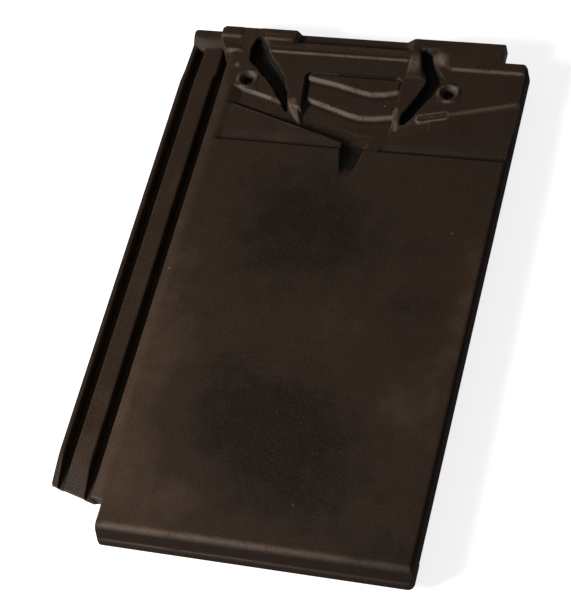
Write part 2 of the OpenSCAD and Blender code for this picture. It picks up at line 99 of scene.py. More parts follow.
# Head: levels, step line and gutter; the lines of places and heights are read by profile()
Y_STEP, Y_BANK_LOW, Y_BANK_HIGH, Y_TRAY_BACK = 119.5, 122.5, 143.0, 191.4
Y_BEND = Y_STEP + 2.4
PLAIN_H, BLOCK_H, APRON_H, LEDGE_H, GUTTER_H, CHANNEL_H = 25.0, 24.5, 22.0, 20.0, 19.0, 17.0
STEP_SHARE = ((-96, 0), (-89.5, 1), (27, 1), (33, 0.1), (40, 0.1), (43, 1))
DIP_H, DIP_BACK, DIP_RUN = 1.4, 11.0, 9.5
X_MID = 19.75
BANK_LEFT, BANK_RIGHT, BANK_HIGH = (math.radians(a) for a in (16.5, 19.0, 15.6))
BANK_LEAN, BANK_RISE = 2.06, 8.0
LEFT_FLOOR = ((40, GUTTER_H), (76, APRON_H), (104, APRON_H), (117, FIELD_H + 1))
RIGHT_FLOOR = ((8, GUTTER_H), (52, APRON_H), (54, APRON_H), (58, FIELD_H + 1))
BANK_GROOVE, BANK_GROOVE_W, BANK_GROOVE_REACH = 1.8, 7.0, (20, 45, 98, 110)
APRON_RUN = 54.9
DRAIN_L, DRAIN_WALL, DRAIN_HALVES = 25.0, 2.6, (5.5, 10.0)

# Head: tray, chevron steps (places across and along, foot, top) and fins (ends, half widths, heights)
X_TRAY_L, X_TRAY_R, TRAY_TAPER, TRAY_R, Y_TRAY_FRONT = -35.25, 44.5, 6.0, 5.0, 139.4
TRAY_WALL = 3.5
CHEVRONS = (
    ((-33, -12, 8, 18, 28, 46), (166.4, 160.0, 153.4, 151.2, 151.4, 154.8), GUTTER_H, 21.4),
    ((-33, -8, 12, 22, 34, 46), (184.8, 180.2, 175.0, 172.9, 174.0, 177.6), 21.4, 23.8),
)
FINS = (
    ((-40.0, 161.5), (-30.0, 142.5), (3.6, 0.6), (24.4, 20.0)),
    ((45.6, 160.0), (48.6, 144.5), (2.6, 1.2), (24.6, 20.0)),
)

# Head: raised forms; a block is left, right, foot and top of its front, foot height and top height
RAISED_FOOT = 24.2
CORNER_LUG = (X_LUG - 2, -97.5, 219.5, 222.8, RAISED_FOOT, 26.6)
CORNER_LIP = (X_LUG - 2, -95.0, 205.8, 208.8, 23.0)
LIP_TOP = ((208.8, 25.6), (210.5, 25.4), (215, 24.4), (219.5, 24.8))
LUG_SIDE = ((204, -107.5), (222, X_LUG))
LUG_NECK = (-98.0, -83.5, 209.0, 226.0, 24.0, 25.7)
FLAP_BAR = (80.75, X_RIGHT + 9, 201.6, 205.2, 23.6, FIELD_H)
MID_LUG_L, MID_LUG_R, Y_MID_LUG, MID_LUG_FOOT, MID_LUG_H = -84.5, -52.5, 217.0, 24.9, 27.0
Y_RIB, Y_RIB_BACK, HEAD_RIB_H, X_RIB_L, X_RIB_R = 207.8, 218.5, 25.6, -72.5, 49.0
Y_WEDGE, WEDGE_H = 191.8, 25.9
WEDGE_LEFT, WEDGE_RIGHT = ((192.5, 47.0), (225, 45.5)), ((192.5, 60.5), (225, 52))
X_LEDGE_L, X_LEDGE_R, Y_LEDGE = -50.25, 48.75, 217.5
X_BACK_LUG, Y_BACK_LUG = 48.0, 219.0
SIDE_LUG_LEFT, SIDE_LUG_FRONT = ((196, 66.5), (222, 60.0)), ((66, 213), (82, 201.5))
X_DAM, Y_DAM, DAM_BEND, DAM_RUN, DAM_FOOT, DAM_H = -126.0, 213.0, 0.012, 7.5, 14.2, 20.0
LUMP_X, LUMP_Y, LUMP_SPREAD, LUMP_H = -94.1, 193.5, 6.5, 0.9

# Head: nail holes (place, crest), mouth rings (radius, height), pad as a fin, channels (place, width)
NAILS = ((-82.0, 180.5, 25.1), (85.0, 180.5, 25.7))
NAIL_R, RIM_R, RIM_SINK, NAIL_CELLS, NAIL_UNDER = 3.0, 8.0, 0.06, 8.2, 6.0
NAIL_MOUTH = ((7.3, 0.0), (6.8, -0.15), (6.0, -0.8), (5.1, -1.7), (4.3, -2.5), (3.6, -3.2), (3.1, -3.9),
              (NAIL_R, -7.0))
PAD = ((66.8, 154.6), (86.0, 159.6), (3.0, 3.0), (23.7, 23.7))
LEFT_CHANNEL = ((-81.5, 219, 6), (-80, 211, 12), (-77.5, 203, 14.5), (-66, 191, 12.5), (-58.8, 183, 11),
                (-50.8, 170, 7.5), (-44, 155, 2))
RIGHT_CHANNEL = ((59.5, 217, 7), (63.5, 205, 7.5), (71.5, 192, 10.5), (66.8, 178, 8.5), (56.5, 157, 7),
                 (53.5, 151, 3.5))
Y_CHANNEL_RISE, CHANNEL_RISE, CHANNEL_RUN = 215.0, 7.0, 14.0

# Painted highlights of the head along lit fronts and edges: share, middle along or behind the bank's upper
# line, half width, reach across
BANK_HIGHLIGHTS = ((0.9, -1.2, 2.2, (-96, -91, -59, -56)), (0.5, -1.5, 2.8, (86, 90, 138, 142)))
HEAD_HIGHLIGHTS = (
    (0.7, 221.2, 2.6, (-117, -114, -99, -96)), (1.0, 207.6, 2.6, (-108, -105, -95, -93)),
    (0.9, 209.0, 1.8, (-71, -67, 44, 48)), (0.35, 216.4, 2.0, (-60, -40, 40, 47)),
    (0.8, 221.0, 2.6, (-86, -82, -55, -52)), (0.5, 225.5, 1.6, (-82, -78, -58, -55)),
    (0.9, 203.6, 2.5, (81, 84, 138, 142)), (0.8, 206, 17, (46, 48, 54, 59)), (1.0, 212, 11, (64, 67, 74, 81)),
)

# Underside: the section across, then the profiles along of lip, foot rib, thick head and nibs
HOLLOW_H, FLAP_GROOVE_H, FLAP_RIB_H, HEAD_UNDER_H, CLEAR_H = 13.0, 16.2, 9.7, 10.0, 30.0
X_WEB, X_FLAP_IN = -96.5, 105.3
UNDER_SECTION = (
    (X_WEB, LOCK_BASE), (-94.9, HOLLOW_H), (105.5, HOLLOW_H), (106.3, FLAP_GROOVE_H),
    (114.2, FLAP_GROOVE_H), (114.6, FLAP_RIB_H), (116.6, FLAP_RIB_H), (117, FLAP_GROOVE_H),
    (137.4, FLAP_GROOVE_H), (138.2, FLAP_RIB_H),
)
NOSE_LIP = ((Y_FOOT, 9.0), (Y_FOOT + 0.44, 8.44), (Y_FOOT + 1.5, NOSE_BASE), (-211, NOSE_BASE),
            (-210.6, CLEAR_H))
FOOT_RIB = ((-107, 14), (-105, 0), (-96, 0), (-94, 14))
THICK_HEAD = ((111.5, 14), (115.5, HEAD_UNDER_H), (227, HEAD_UNDER_H), (Y_HEAD, 13))
NIB = ((195.6, CLEAR_H), (196, 0), (206, 0), (211, 11), (211.5, CLEAR_H))
NIB_HALF, NIB_WALL, UNDER_WALL = 18.0, 0.4, 80.0

# Marks of the firing: middle, reach across and along, and share (below 0 dark, above 0 pale)
FIRE_MARKS = (
    (14, -132, 66, 50, -1.1), (48, -178, 40, 26, -0.35), (0, 54, 60, 52, -0.85), (100, -29, 26, 48, -0.45),
    (120, -214, 40, 22, -0.5), (136, 12, 16, 90, 0.35), (-92, -70, 30, 110, 0.65), (-62, -190, 48, 60, 0.7),
    (60, -30, 35, 40, 0.15), (108, -96, 28, 36, 0.4),
)

# Stage: floor and softbox in metres and degrees, glow of the backdrop, and the camera in millimetres
FLOOR_HALF = 3.0
SEEN_GLOW, MIRRORED_GLOW = 0.8, 0.25
SOFTBOX_AZIMUTH, SOFTBOX_ELEVATION, SOFTBOX_AWAY, SOFTBOX_SIZE = -56.0, 31.0, 1.7, 0.5
CAM_UP, CAM_BACK = (-0.1022, 0.8505, 0.5160), (0.2966, -0.4691, 0.8319)
CAM_AIM, CAM_AWAY, CAM_LENS = (0.9, -21.4, 26.0), 1594.0, 127.2


class TileShape(bpy.types.PropertyGroup):
    """Softness of the pressed shape."""

    edge_r: bpy.props.FloatProperty(
        name="Edge rounding", description="Rounding of the outer top edges", default=0.8 * MM,
        min=0.2 * MM, max=3 * MM, unit="LENGTH")
    press_soft: bpy.props.FloatProperty(
        name="Press softness", description="Softening of the rib and groove corners", default=0.45 * MM,
        min=0.1 * MM, max=1 * MM, unit="LENGTH")
    warp: bpy.props.FloatProperty(
        name="Firing warp", description="Depth of the slow waves left by the kiln", default=0.15 * MM,
        min=0.0, max=1 * MM, unit="LENGTH")


class ClayFinish(bpy.types.PropertyGroup):
    """Colours and gloss of the engobe, and the colours of its painted shade and painted highlights."""

    engobe: bpy.props.FloatVectorProperty(
        name="Engobe", description="Main dark brown of the engobe", default=(0.0222, 0.0128, 0.0073),
        size=3, min=0.0, max=1.0, subtype="COLOR")
    # Nearly black clouds of the firing; the same colour paints shade in concave creases.
    cloud_and_shade: bpy.props.FloatVectorProperty(
        name="Cloud", description="Nearly black clouds of the firing", default=(0.0095, 0.0053, 0.0027),
        size=3, min=0.0, max=1.0, subtype="COLOR")
    flash: bpy.props.FloatVectorProperty(
        name="Flash", description="Warm paler flashes", default=(0.046, 0.026, 0.0155),
        size=3, min=0.0, max=1.0, subtype="COLOR")
    # Paler engobe worn on the arrises; the same colour paints highlights on lit fronts, rims and the nose's
    # brow.
    worn_and_highlight: bpy.props.FloatVectorProperty(
        name="Worn edge", description="Thin paler engobe on the arrises", default=(0.112, 0.078, 0.056),
        size=3, min=0.0, max=1.0, subtype="COLOR")
    # Painted shade: the near-black put in channels, drain, lock grooves, chevron feet and shadow lines, where
    # shade falls.
    hollow_shade: bpy.props.FloatVectorProperty(
        name="Damp", description="Nearly black hollows that hold water", default=(0.0062, 0.0052, 0.0036),
        size=3, min=0.0, max=1.0, subtype="COLOR")
    # Painted shade on the steep outer faces of the nose, the lock's lower end and the right side.
    side_shade: bpy.props.FloatVectorProperty(
        name="Burnt side", description="Dark red-brown of the steep outer faces",
        default=(0.0085, 0.0035, 0.0013), size=3, min=0.0, max=1.0, subtype="COLOR")
    gloss: bpy.props.FloatProperty(
        name="Roughness", description="Roughness of the satin surface", default=0.5,
        min=0.05, max=1.0, subtype="FACTOR")


class StudioStage(bpy.types.PropertyGroup):
    """Floor and lights."""

    floor: bpy.props.FloatVectorProperty(
        name="Floor", description="Colour of the pale floor", default=(0.5, 0.5, 0.5),
        size=3, min=0.0, max=1.0, subtype="COLOR")
    key: bpy.props.FloatProperty(
        name="Softbox", description="Power of the front left softbox, in watts", default=50.0, min=0.0)
    fill: bpy.props.FloatProperty(
        name="Fill", description="Strength of the even light all round", default=0.2, min=0.0)


def soft_min(a, b, k):
    """Lower of two heights; where they differ by less than k the corner is a parabola k / 4 lower."""
    h = np.maximum(k - np.abs(a - b), 0.0) / k
    return np.minimum(a, b) - h * h * k / 4


def soft_max(a, b, k):
    """Higher of two heights, with the hollow corner filled by a parabola."""
    return -soft_min(-a, -b, k)


def smooth(t):
    """Rise from 0 to 1 without corners."""
    t = np.clip(t, 0, 1)
    return t * t * (3 - 2 * t)


def band(value, middle, half):
    """1 in the middle of a band, falling to 0 at half its width on either side."""
    return smooth(1 - np.abs(value - middle) / half)


def span(value, stops):
    """0 outside four stops and 1 between the inner two, straight between them."""
    return np.interp(value, stops, (0, 1, 1, 0))


def profile(value, points):
    """Height at a place, straight between (place, height) points."""
    return np.interp(value, *zip(*points))


def arc(x, z, r, start, end, steps=9):
    """Points of a circle about (x, z) between two angles in degrees."""
    a = np.radians(np.linspace(start, end, steps))
    return np.stack([x + r * np.cos(a), z + r * np.sin(a)], 1)


def softened(line, sigma, step=0.1):
    """A profile sampled evenly and averaged with a bell curve of width sigma, which rounds its corners."""
    s = np.arange(line[0, 0], line[-1, 0] + step / 2, step)
    reach = int(math.ceil(3 * sigma / step))
    bell = np.exp(-0.5 * (np.arange(-reach, reach + 1) * step / sigma) ** 2)
    height = np.interp(s, line[:, 0], line[:, 1])
    return s, np.convolve(np.pad(height, reach, mode="edge"), bell / bell.sum(), "valid")


def section_line():
    """Weathered side of the cross-section: outer rib, groove, broad rib, groove, rolled shoulder, arris.
    The ribs are rounder on the right; the shoulder falls at an even slope and bends into the field."""
    lean, x_flat = LOCK_LEAN, X_FIELD + LOCK_LEAN + ROLL_FLAT + ROLL_BEND
    d = np.linspace(ROLL_FLAT + ROLL_BEND, 0, 14)
    fall = ROLL_SLOPE * np.where(d < ROLL_BEND, d * d / (2 * ROLL_BEND), d - ROLL_BEND / 2)
    return np.concatenate([
        arc(X_LEFT + RIB_EDGE_R, LOCK_TOP - RIB_EDGE_R, RIB_EDGE_R, 180, 90),
        arc(X_GROOVE_A - lean - RIB_RIGHT_R, LOCK_TOP - RIB_RIGHT_R, RIB_RIGHT_R, 90, 0),
        [[X_GROOVE_A, LOCK_FLOOR], [X_RIB_IN, LOCK_FLOOR]],
        arc(X_RIB_IN + lean + RIB_LEFT_R, LOCK_TOP - RIB_LEFT_R, RIB_LEFT_R, 180, 90),
        arc(X_GROOVE_B - lean - RIB_RIGHT_R, LOCK_TOP - RIB_RIGHT_R, RIB_RIGHT_R, 90, 0),
        [[X_GROOVE_B, LOCK_FLOOR], [X_FIELD, LOCK_FLOOR]],
        np.stack([x_flat - d, FIELD_H - fall], 1),
        arc(X_RIGHT - ARRIS_R, FIELD_H - ARRIS_R, ARRIS_R, 90, 0)])


def nose_line():
    """Long profile of the nose: lower band, small step, leaning facet and rounded brow."""
    slope = math.tan(NOSE_LEAN)
    band_top = NOSE_BASE + NOSE_BAND
    y_band = Y_FOOT + NOSE_BAND * slope
    y_facet = y_band + NOSE_STEP
    brow = FIELD_H - NOSE_R + NOSE_R * math.sin(NOSE_LEAN)
    y_brow = y_facet + (brow - band_top) * slope + NOSE_R * math.cos(NOSE_LEAN)
    return np.concatenate([
        [[Y_FOOT, NOSE_BASE + NOSE_LOW_R], [y_band, band_top], [y_facet, band_top + NOSE_STEP * slope]],
        arc(y_brow, FIELD_H - NOSE_R, NOSE_R, 180 - math.degrees(NOSE_LEAN), 90), [[Y_HEAD, FIELD_H]]])


def lock_shift(x, v):
    """Sideways shift of the lock near the head: its outer side tapers in and the broad rib widens."""
    taper = TAPER * np.clip((v - Y_TAPER) / (Y_LOCK_HEAD - Y_TAPER), 0, 1)
    wide = RIB_WIDEN * smooth((v - Y_WIDEN) / WIDEN_RUN)
    return (taper * np.interp(x, (X_LEFT, X_RIB_IN, X_GROOVE_B - 6), (1, 0.6, 0))
            + wide * span(x, (X_RIB_IN + 4, X_GROOVE_B - 2, X_GROOVE_B + 1, X_FIELD - 1)))


def plan(xs, vs, upper):
    """Plan of a grid: corner blocks are turned into quarter discs and the rows of the lock's lower end follow
    its slant. Above, the rows of the head follow the step line, both gutter banks and the tray's back; below,
    the lower end is set back by its undercut."""
    x, v = np.meshgrid(xs, vs)
    px, pv = x.copy(), v.copy()
    for cx, cy, r, sx, sy in CORNERS:
        a = np.clip((x - cx) * sx / r + 1, 0, 1)
        b = np.clip((v - cy) * sy / r + 1, 0, 1)
        inside = (a > 0) & (b > 0) & ((x - cx) * sx < 1e-6) & ((v - cy) * sy < 1e-6)
        px = np.where(inside, cx + sx * r * (a * np.sqrt(1 - b * b / 2) - 1), px)
        pv = np.where(inside, cy + sy * r * (b * np.sqrt(1 - a * a / 2) - 1), pv)
    px = px + lock_shift(x, pv)
    y = pv.copy()
    if upper:
        dx = np.clip(px - X_MID, X_FIELD - X_MID, X_RIGHT - X_MID)
        low = Y_BANK_LOW + np.abs(dx) * np.where(dx < 0, math.tan(BANK_LEFT), math.tan(BANK_RIGHT))
        high = Y_BANK_HIGH + np.abs(dx) * math.tan(BANK_HIGH)
        keys = (Y_BEND, Y_BANK_LOW, Y_BANK_HIGH, Y_TRAY_BACK)
        t = [np.clip((pv - a) / (b - a), 0, 1) for a, b in zip(keys, keys[1:])]
        bent = Y_BEND + t[0] * (low - Y_BEND) + t[1] * (high - low) + t[2] * (Y_TRAY_BACK - high)
        y = np.where((pv > Y_BEND) & (pv < Y_TRAY_BACK), bent, pv)
    share = np.clip((Y_SHEAR - pv) / (Y_SHEAR - Y_LOCK_NOSE), 0, 1)
    back = 0.0 if upper else np.interp(px, (X_NOSE - 4, X_NOSE - 1.2), (LOCK_SETBACK, 0))
    y = y + share * (np.maximum(X_NOSE - px, 0) * LOCK_SKEW + back)
    return px, y, x, v


def rim_distance(x, v):
    """Distance to the nearest outer edge that has no rounding of its own, before the corners are turned."""
    notch = np.hypot(np.maximum(X_NOTCH - x, 0), np.maximum(Y_FLAP - v, 0))
    foot = np.hypot(np.maximum(x - X_NOSE, 0), np.maximum(v - Y_LOCK_NOSE, 0))
    head = np.hypot(np.maximum(x - X_LUG, 0), np.maximum(Y_LOCK_HEAD - v, 0))
    return np.minimum(np.minimum(Y_HEAD - v, notch), np.minimum(foot, head))


def block(x, y, x0, x1, y0, y1, foot, top, run=1.4, soft=1.0):
    """A raised block: a front that slopes from y0 to y1, leaning ends at x0 and x1 and a level top."""
    slope = (top - foot) / (y1 - y0)
    side = (top - foot) / run
    h = soft_min(foot + slope * np.maximum(y - y0, 0) - 8 * np.maximum(y0 - y, 0), top, soft)
    return soft_min(h, foot + side * (np.minimum(x - x0, x1 - x) + run / 2), soft)


def line_gap(x, y, a, b):
    """The nearest point of the line from a to b: its share of the way, and the distance to it."""
    (ax, ay), (bx, by) = a, b
    ux, uy = bx - ax, by - ay
    t = np.clip(((x - ax) * ux + (y - ay) * uy) / (ux * ux + uy * uy), 0, 1)
    return t, np.hypot(x - ax - t * ux, y - ay - t * uy)


def ridge(x, y, a, b, half, top, side, soft):
    """A ridge between two points: half width and top change from a to b, and the sides fall at one slope."""
    t, away = line_gap(x, y, a, b)
    off = away - half[0] - t * (half[1] - half[0])
    level = top[0] + t * (top[1] - top[0])
    return soft_min(level, level - side * off, soft), off


def path_gap(x, y, path):
    """Distance outside a channel: to the nearest point of its path, less half the width there."""
    gap = np.full(x.shape, 1e3)
    for (*a, aw), (*b, bw) in zip(path, path[1:]):
        t, away = line_gap(x, y, a, b)
        gap = soft_min(gap, away - (aw + t * (bw - aw)) / 2, 2.0)
    return gap


def above_bank(x, y):
    """Distance behind the gutter's upper bank line, measured square to it."""
    return (y - Y_BANK_HIGH) * math.cos(BANK_HIGH) - np.abs(x - X_MID) * math.sin(BANK_HIGH)


def gutter_cut(x, y):
    """Floor of the V-shaped gutter with its apron and drain: the highest of floors and leaning banks.
    Returns the floor and the share of painted shade on the drain's bed."""
    dx = x - X_MID
    arm, left = np.abs(dx), dx < 0
    low_a = np.where(left, BANK_LEFT, BANK_RIGHT)
    p_low = (y - Y_BANK_LOW) * np.cos(low_a) - arm * np.sin(low_a)
    floor = np.where(left, profile(arm, LEFT_FLOOR), profile(arm, RIGHT_FLOOR))
    groove = BANK_GROOVE * smooth((BANK_GROOVE_W - p_low) / BANK_GROOVE_W)
    floor = floor - groove * np.where(left, span(arm, BANK_GROOVE_REACH), 0)
    low = GUTTER_H + BANK_RISE * (1 - p_low / BANK_LEAN)
    high = BLOCK_H + np.interp(dx, (-16, 12), (1.2, 0.7)) * (above_bank(x, y) + 0.6)
    arms = soft_max(soft_max(floor, low, 1.2), high, 1.0)
    fall = PLAIN_H - (PLAIN_H - APRON_H) * (y - Y_STEP) / APRON_RUN
    fall = fall + 4 * np.maximum(Y_STEP - y, 0) + np.maximum(-dx, 0)
    apron = soft_max(fall, high, 1.0)
    y_end = Y_STEP - DRAIN_L
    bed = np.interp(y, (y_end, Y_STEP - DRAIN_L / 2, Y_STEP), (FIELD_H, APRON_H, GUTTER_H))
    bed = bed + np.maximum(y_end - y, 0) + 0.6 * np.maximum(y - Y_BANK_LOW - 3, 0)
    half = np.interp(y, (y_end, Y_BANK_LOW + 3.6), DRAIN_HALVES)
    drain = soft_max(bed, bed + DRAIN_WALL * (arm - half + 1.4), 1.5)
    # painted shade on the drain's bed, where its left wall casts a shadow
    inside = smooth((half + 0.5 - arm) / 1.5) * smooth((25.4 - bed) / 3) * smooth((Y_BANK_LOW + 6 - y) / 4)
    return np.minimum(soft_min(arms, apron, 2.0), drain), inside


def step_and_gutter(x, y, z):
    """The plain behind the step line dips at the step; then the gutter and the edge of its upper bank are
    cut. Returns height, painted shade and painted highlight shares."""
    share = profile(x, STEP_SHARE)
    dip = share * np.clip((Y_STEP + DIP_BACK - y) / DIP_RUN, 0, 1)
    plain = FIELD_H - (FIELD_H - PLAIN_H) * share - DIP_H * dip
    z = soft_min(z, plain + 6 * np.maximum(Y_STEP - y, 0) + 4 * np.maximum(X_FIELD - x, 0), 0.5)
    cut, hollow_shade = gutter_cut(x, y)
    # painted shadow line just behind the step
    hollow_shade = np.maximum(hollow_shade, share * smooth(Y_STEP + 3.1 - y) * smooth((y - Y_STEP + 1.2) / 0.9))
    behind = above_bank(x, y)
    z = soft_min(soft_min(z, cut, 0.8), BLOCK_H + 4 * np.maximum(-behind - 1.8, 0), 0.6)
    pale = np.zeros(x.shape)
    # painted highlights along the lit edge of the gutter's upper bank
    for amount, middle, half, stops in BANK_HIGHLIGHTS:
        pale = np.maximum(pale, amount * band(behind, middle, half) * span(x, stops))
    return z, hollow_shade, pale


def ledge_and_fins(x, y, z, pale):
    """The rear ledge is cut with steep sides and both fins are added. Returns height and the painted
    highlight share, now also on the fins.
    """
    out = np.maximum(np.maximum(X_LEDGE_L - x, x - X_LEDGE_R), Y_LEDGE - y)
    z = soft_min(z, soft_max(LEDGE_H, LEDGE_H + 5 * (out + 0.5), 1.0), 1.0)
    for fin in FINS:
        height, off = ridge(x, y, *fin, 1.6, 0.8)
        z = soft_max(z, height, 0.8)
        # painted highlight on the fins' lit tops
        pale = np.maximum(pale, 0.7 * smooth((1.2 - off) / 1.5))
    return z, pale


def tray_left(x, y):
    """Distance inside the tray's tapered left side."""
    return x - X_TRAY_L - TRAY_TAPER * (Y_TRAY_BACK - y) / (Y_TRAY_BACK - Y_TRAY_FRONT)


def tray_inset(x, y):
    """Distance inside the tray's outline, which has a tapered left side and round back corners."""
    side, back = np.minimum(tray_left(x, y), X_TRAY_R - x), Y_TRAY_BACK - y
    corner = TRAY_R - np.hypot(np.maximum(TRAY_R - side, 0), np.maximum(TRAY_R - back, 0))
    return np.minimum(np.minimum(side, back), corner)


def tray_cut(x, y):
    """The tray: a level floor, one slope for its walls, and a front that is steep on the left only."""
    wall = GUTTER_H + TRAY_WALL * (0.8 - tray_inset(x, y))
    ahead = Y_TRAY_FRONT - y
    front = GUTTER_H + np.interp(x, (-12, 4), (3, 0.35)) * ahead + 3 * np.maximum(ahead - 4.5, 0)
    return soft_max(soft_max(GUTTER_H, wall, 1.5), front, 1.5)


def tray_steps(x, y, z, hollow_shade, pale):
    """Two chevron steps rise from the tray's floor, with painted highlights along their fronts, painted shade
    at their feet and a painted shadow line along the tray's back. Returns height, painted shade and painted
    highlight."""
    inset, side, back = tray_inset(x, y), tray_left(x, y), Y_TRAY_BACK - y
    inner = smooth((side - 0.5) / 4) * smooth((X_TRAY_R - x + 0.8) / 1.5)
    for xs, ys, foot, top in CHEVRONS:
        p = y - np.interp(x, xs, ys)
        up = soft_min(0.8 * p, top - foot, 0.8)
        up = np.maximum(up, 0) * inner * smooth((back - 0.5) / 1.8)
        z = np.where(up > 0, soft_max(z, foot + up - 6 * np.maximum(-inset, 0), 0.4), z)
        # painted highlight on each lit front and painted shade at each foot
        pale = np.maximum(pale, inner * band(p, 1.9, 2.8))
        hollow_shade = np.maximum(hollow_shade, 0.6 * inner * band(p, -2.2, 2.0))
    # painted shadow line along the tray's back
    between = smooth((np.minimum(side, X_TRAY_R - x) - 1) / 3)
    return z, np.maximum(hollow_shade, 0.9 * smooth(1.7 - np.abs(back - 0.1)) * between), pale


def mid_lug(x, y):
    """Middle lug: a gentle rise to the back, limited by its leaning ends and its top."""
    ends = soft_min(MID_LUG_FOOT + 0.6 * (x - MID_LUG_L), MID_LUG_H + 2.0 * (MID_LUG_R - x), 1.0)
    rise = soft_min(MID_LUG_FOOT + 0.30 * (y - Y_MID_LUG), ends, 1.2)
    return np.minimum(rise, MID_LUG_H) - 8 * np.maximum(Y_MID_LUG - y, 0)


def head_rib(x, y):
    """Rib across the head: sloped front, a groove and a bead along its top, steep back, sloped left end."""
    top = HEAD_RIB_H - 0.5 * band(y, 212.6, 2.4) + 0.3 * band(y, 216.4, 1.6)
    rib = soft_min(RAISED_FOOT + 0.7 * (y - Y_RIB), top, 0.5)
    rib = soft_min(rib, HEAD_RIB_H + 1.5 * (Y_RIB_BACK - y), 0.8)
    rib = soft_min(rib, HEAD_RIB_H + (x - X_RIB_L), 0.8)
    return rib - 8 * np.maximum(Y_RIB - y, 0) - 4 * np.maximum(x - X_RIB_R, 0)


def channel_wedge(x, y):
    """Wedge left of the right channel: sloped front and left side, level top, steeper right side."""
    h = soft_min(RAISED_FOOT + 0.6 * (y - Y_WEDGE), WEDGE_H, 0.6)
    h = soft_min(h, RAISED_FOOT + 0.8 * (x - profile(y, WEDGE_LEFT)), 0.6)
    h = soft_min(h, WEDGE_H + 1.2 * (profile(y, WEDGE_RIGHT) - x), 0.8)
    return h - 8 * np.maximum(Y_WEDGE - y, 0)


def right_lug(x, y):
    """Lug at the right of the ledge: a steep block at the back joined to a slope that leaves the channel."""
    back = soft_min(LEDGE_H + 2.0 * (y - Y_BACK_LUG), LEDGE_H + 4 * (x - X_BACK_LUG), 1.0)
    side = soft_min(19.5 + 0.62 * (x - profile(y, SIDE_LUG_LEFT)),
                    24.0 + 0.6 * (y - profile(x, SIDE_LUG_FRONT)), 1.5)
    return soft_min(np.maximum(back, side), FIELD_H, 1.0)


def raised_forms(x, y, arris):
    """Heights of what stands up on the head. The corner lug and its lip share a slanted left side, the flap's
    bar and the right lug end at the arris, and the dam's front bends across the lock."""
    lug_side = FIELD_H + 5 * (x - profile(y, LUG_SIDE) - 0.4)
    dam_y = Y_DAM + DAM_BEND * (x - X_DAM) ** 2
    return (
        soft_min(block(x, y, *CORNER_LUG, run=2.5, soft=1.2), lug_side, 1.5),
        soft_min(block(x, y, *CORNER_LIP, profile(y, LIP_TOP), run=2.0), lug_side, 1.5),
        block(x, y, *LUG_NECK),
        mid_lug(x, y),
        head_rib(x, y),
        channel_wedge(x, y),
        soft_min(block(x, y, *FLAP_BAR, run=3.0), arris, 0.5),
        soft_min(right_lug(x, y), arris, 0.5),
        block(x, y, X_LEFT - 2, X_LUG + 1, dam_y, dam_y + DAM_RUN, DAM_FOOT, DAM_H, run=3.0, soft=2.0),
    )


def pad_and_rims(x, y, z, pale):
    """The hollow pad, the raised rims of both nail holes and the small lump beside the left one. Returns
    height and the painted highlight share."""
    pad, off = ridge(x, y, *PAD, 2.2, 0.6)
    z = soft_max(z, pad - 0.7 * smooth((-off - 0.9) / 1.2), 0.4)
    # painted highlight on the pad's rim
    pale = np.maximum(pale, 0.9 * band(off, 0.0, 1.5))
    for nx, ny, crest in NAILS:
        r = np.hypot(x - nx, y - ny)
        z = soft_max(z, soft_min(crest + 0.8 * (RIM_R - r), crest, 0.5), 0.5)
        # painted highlight on the lit lower left of each nail rim
        pale = np.maximum(pale, 0.9 * band(r, RIM_R, 3.2) * smooth((nx - x + ny - y + 6) / 14))
    # painted highlight on the lump
    lump = np.exp(-((x - LUMP_X) ** 2 + (y - LUMP_Y) ** 2) / LUMP_SPREAD)
    return z + LUMP_H * lump, np.maximum(pale, lump)


def channels(x, y, z, hollow_shade):
    """Both channels: a bed that rises at the back and walls of one slope. Returns height and the painted
    shade share.
    """
    for path in (LEFT_CHANNEL, RIGHT_CHANNEL):
        gap = path_gap(x, y, path)
        bed = CHANNEL_H + CHANNEL_RISE * smooth((y - Y_CHANNEL_RISE) / CHANNEL_RUN)
        z = soft_min(z, soft_max(bed, bed + 4.0 * (gap + 1.0), 2.5), 1.2)
        # painted shade on the channels' beds and walls
        hollow_shade = np.maximum(hollow_shade, smooth((1.8 - gap) / 1.6) * smooth((26.0 - bed) / 4))
    return z, hollow_shade


def head_height(x, y, z, arris):
    """Head of the tile: gutter, ledge and tray are cut, then ribs, lugs, steps, pad and rims are added, and
    the channels are cut last. Returns the height and a share of painted light: 1 for painted shade in
    hollows, -1 for painted highlights."""
    z, hollow_shade, pale = step_and_gutter(x, y, z)
    z, pale = ledge_and_fins(x, y, z, pale)
    z = soft_min(z, tray_cut(x, y), 0.8)
    for form in raised_forms(x, y, arris):
        z = soft_max(z, form, 0.7)
    # painted highlights along the lit fronts of the head
    for amount, middle, half, stops in HEAD_HIGHLIGHTS:
        pale = np.maximum(pale, amount * band(y, middle, half) * span(x, stops))
    z, hollow_shade, pale = tray_steps(x, y, z, hollow_shade, pale)
    z, pale = pad_and_rims(x, y, z, pale)
    z, hollow_shade = channels(x, y, z, hollow_shade)
    return z, hollow_shade - pale * np.clip(1 - 2 * hollow_shade, 0, 1)


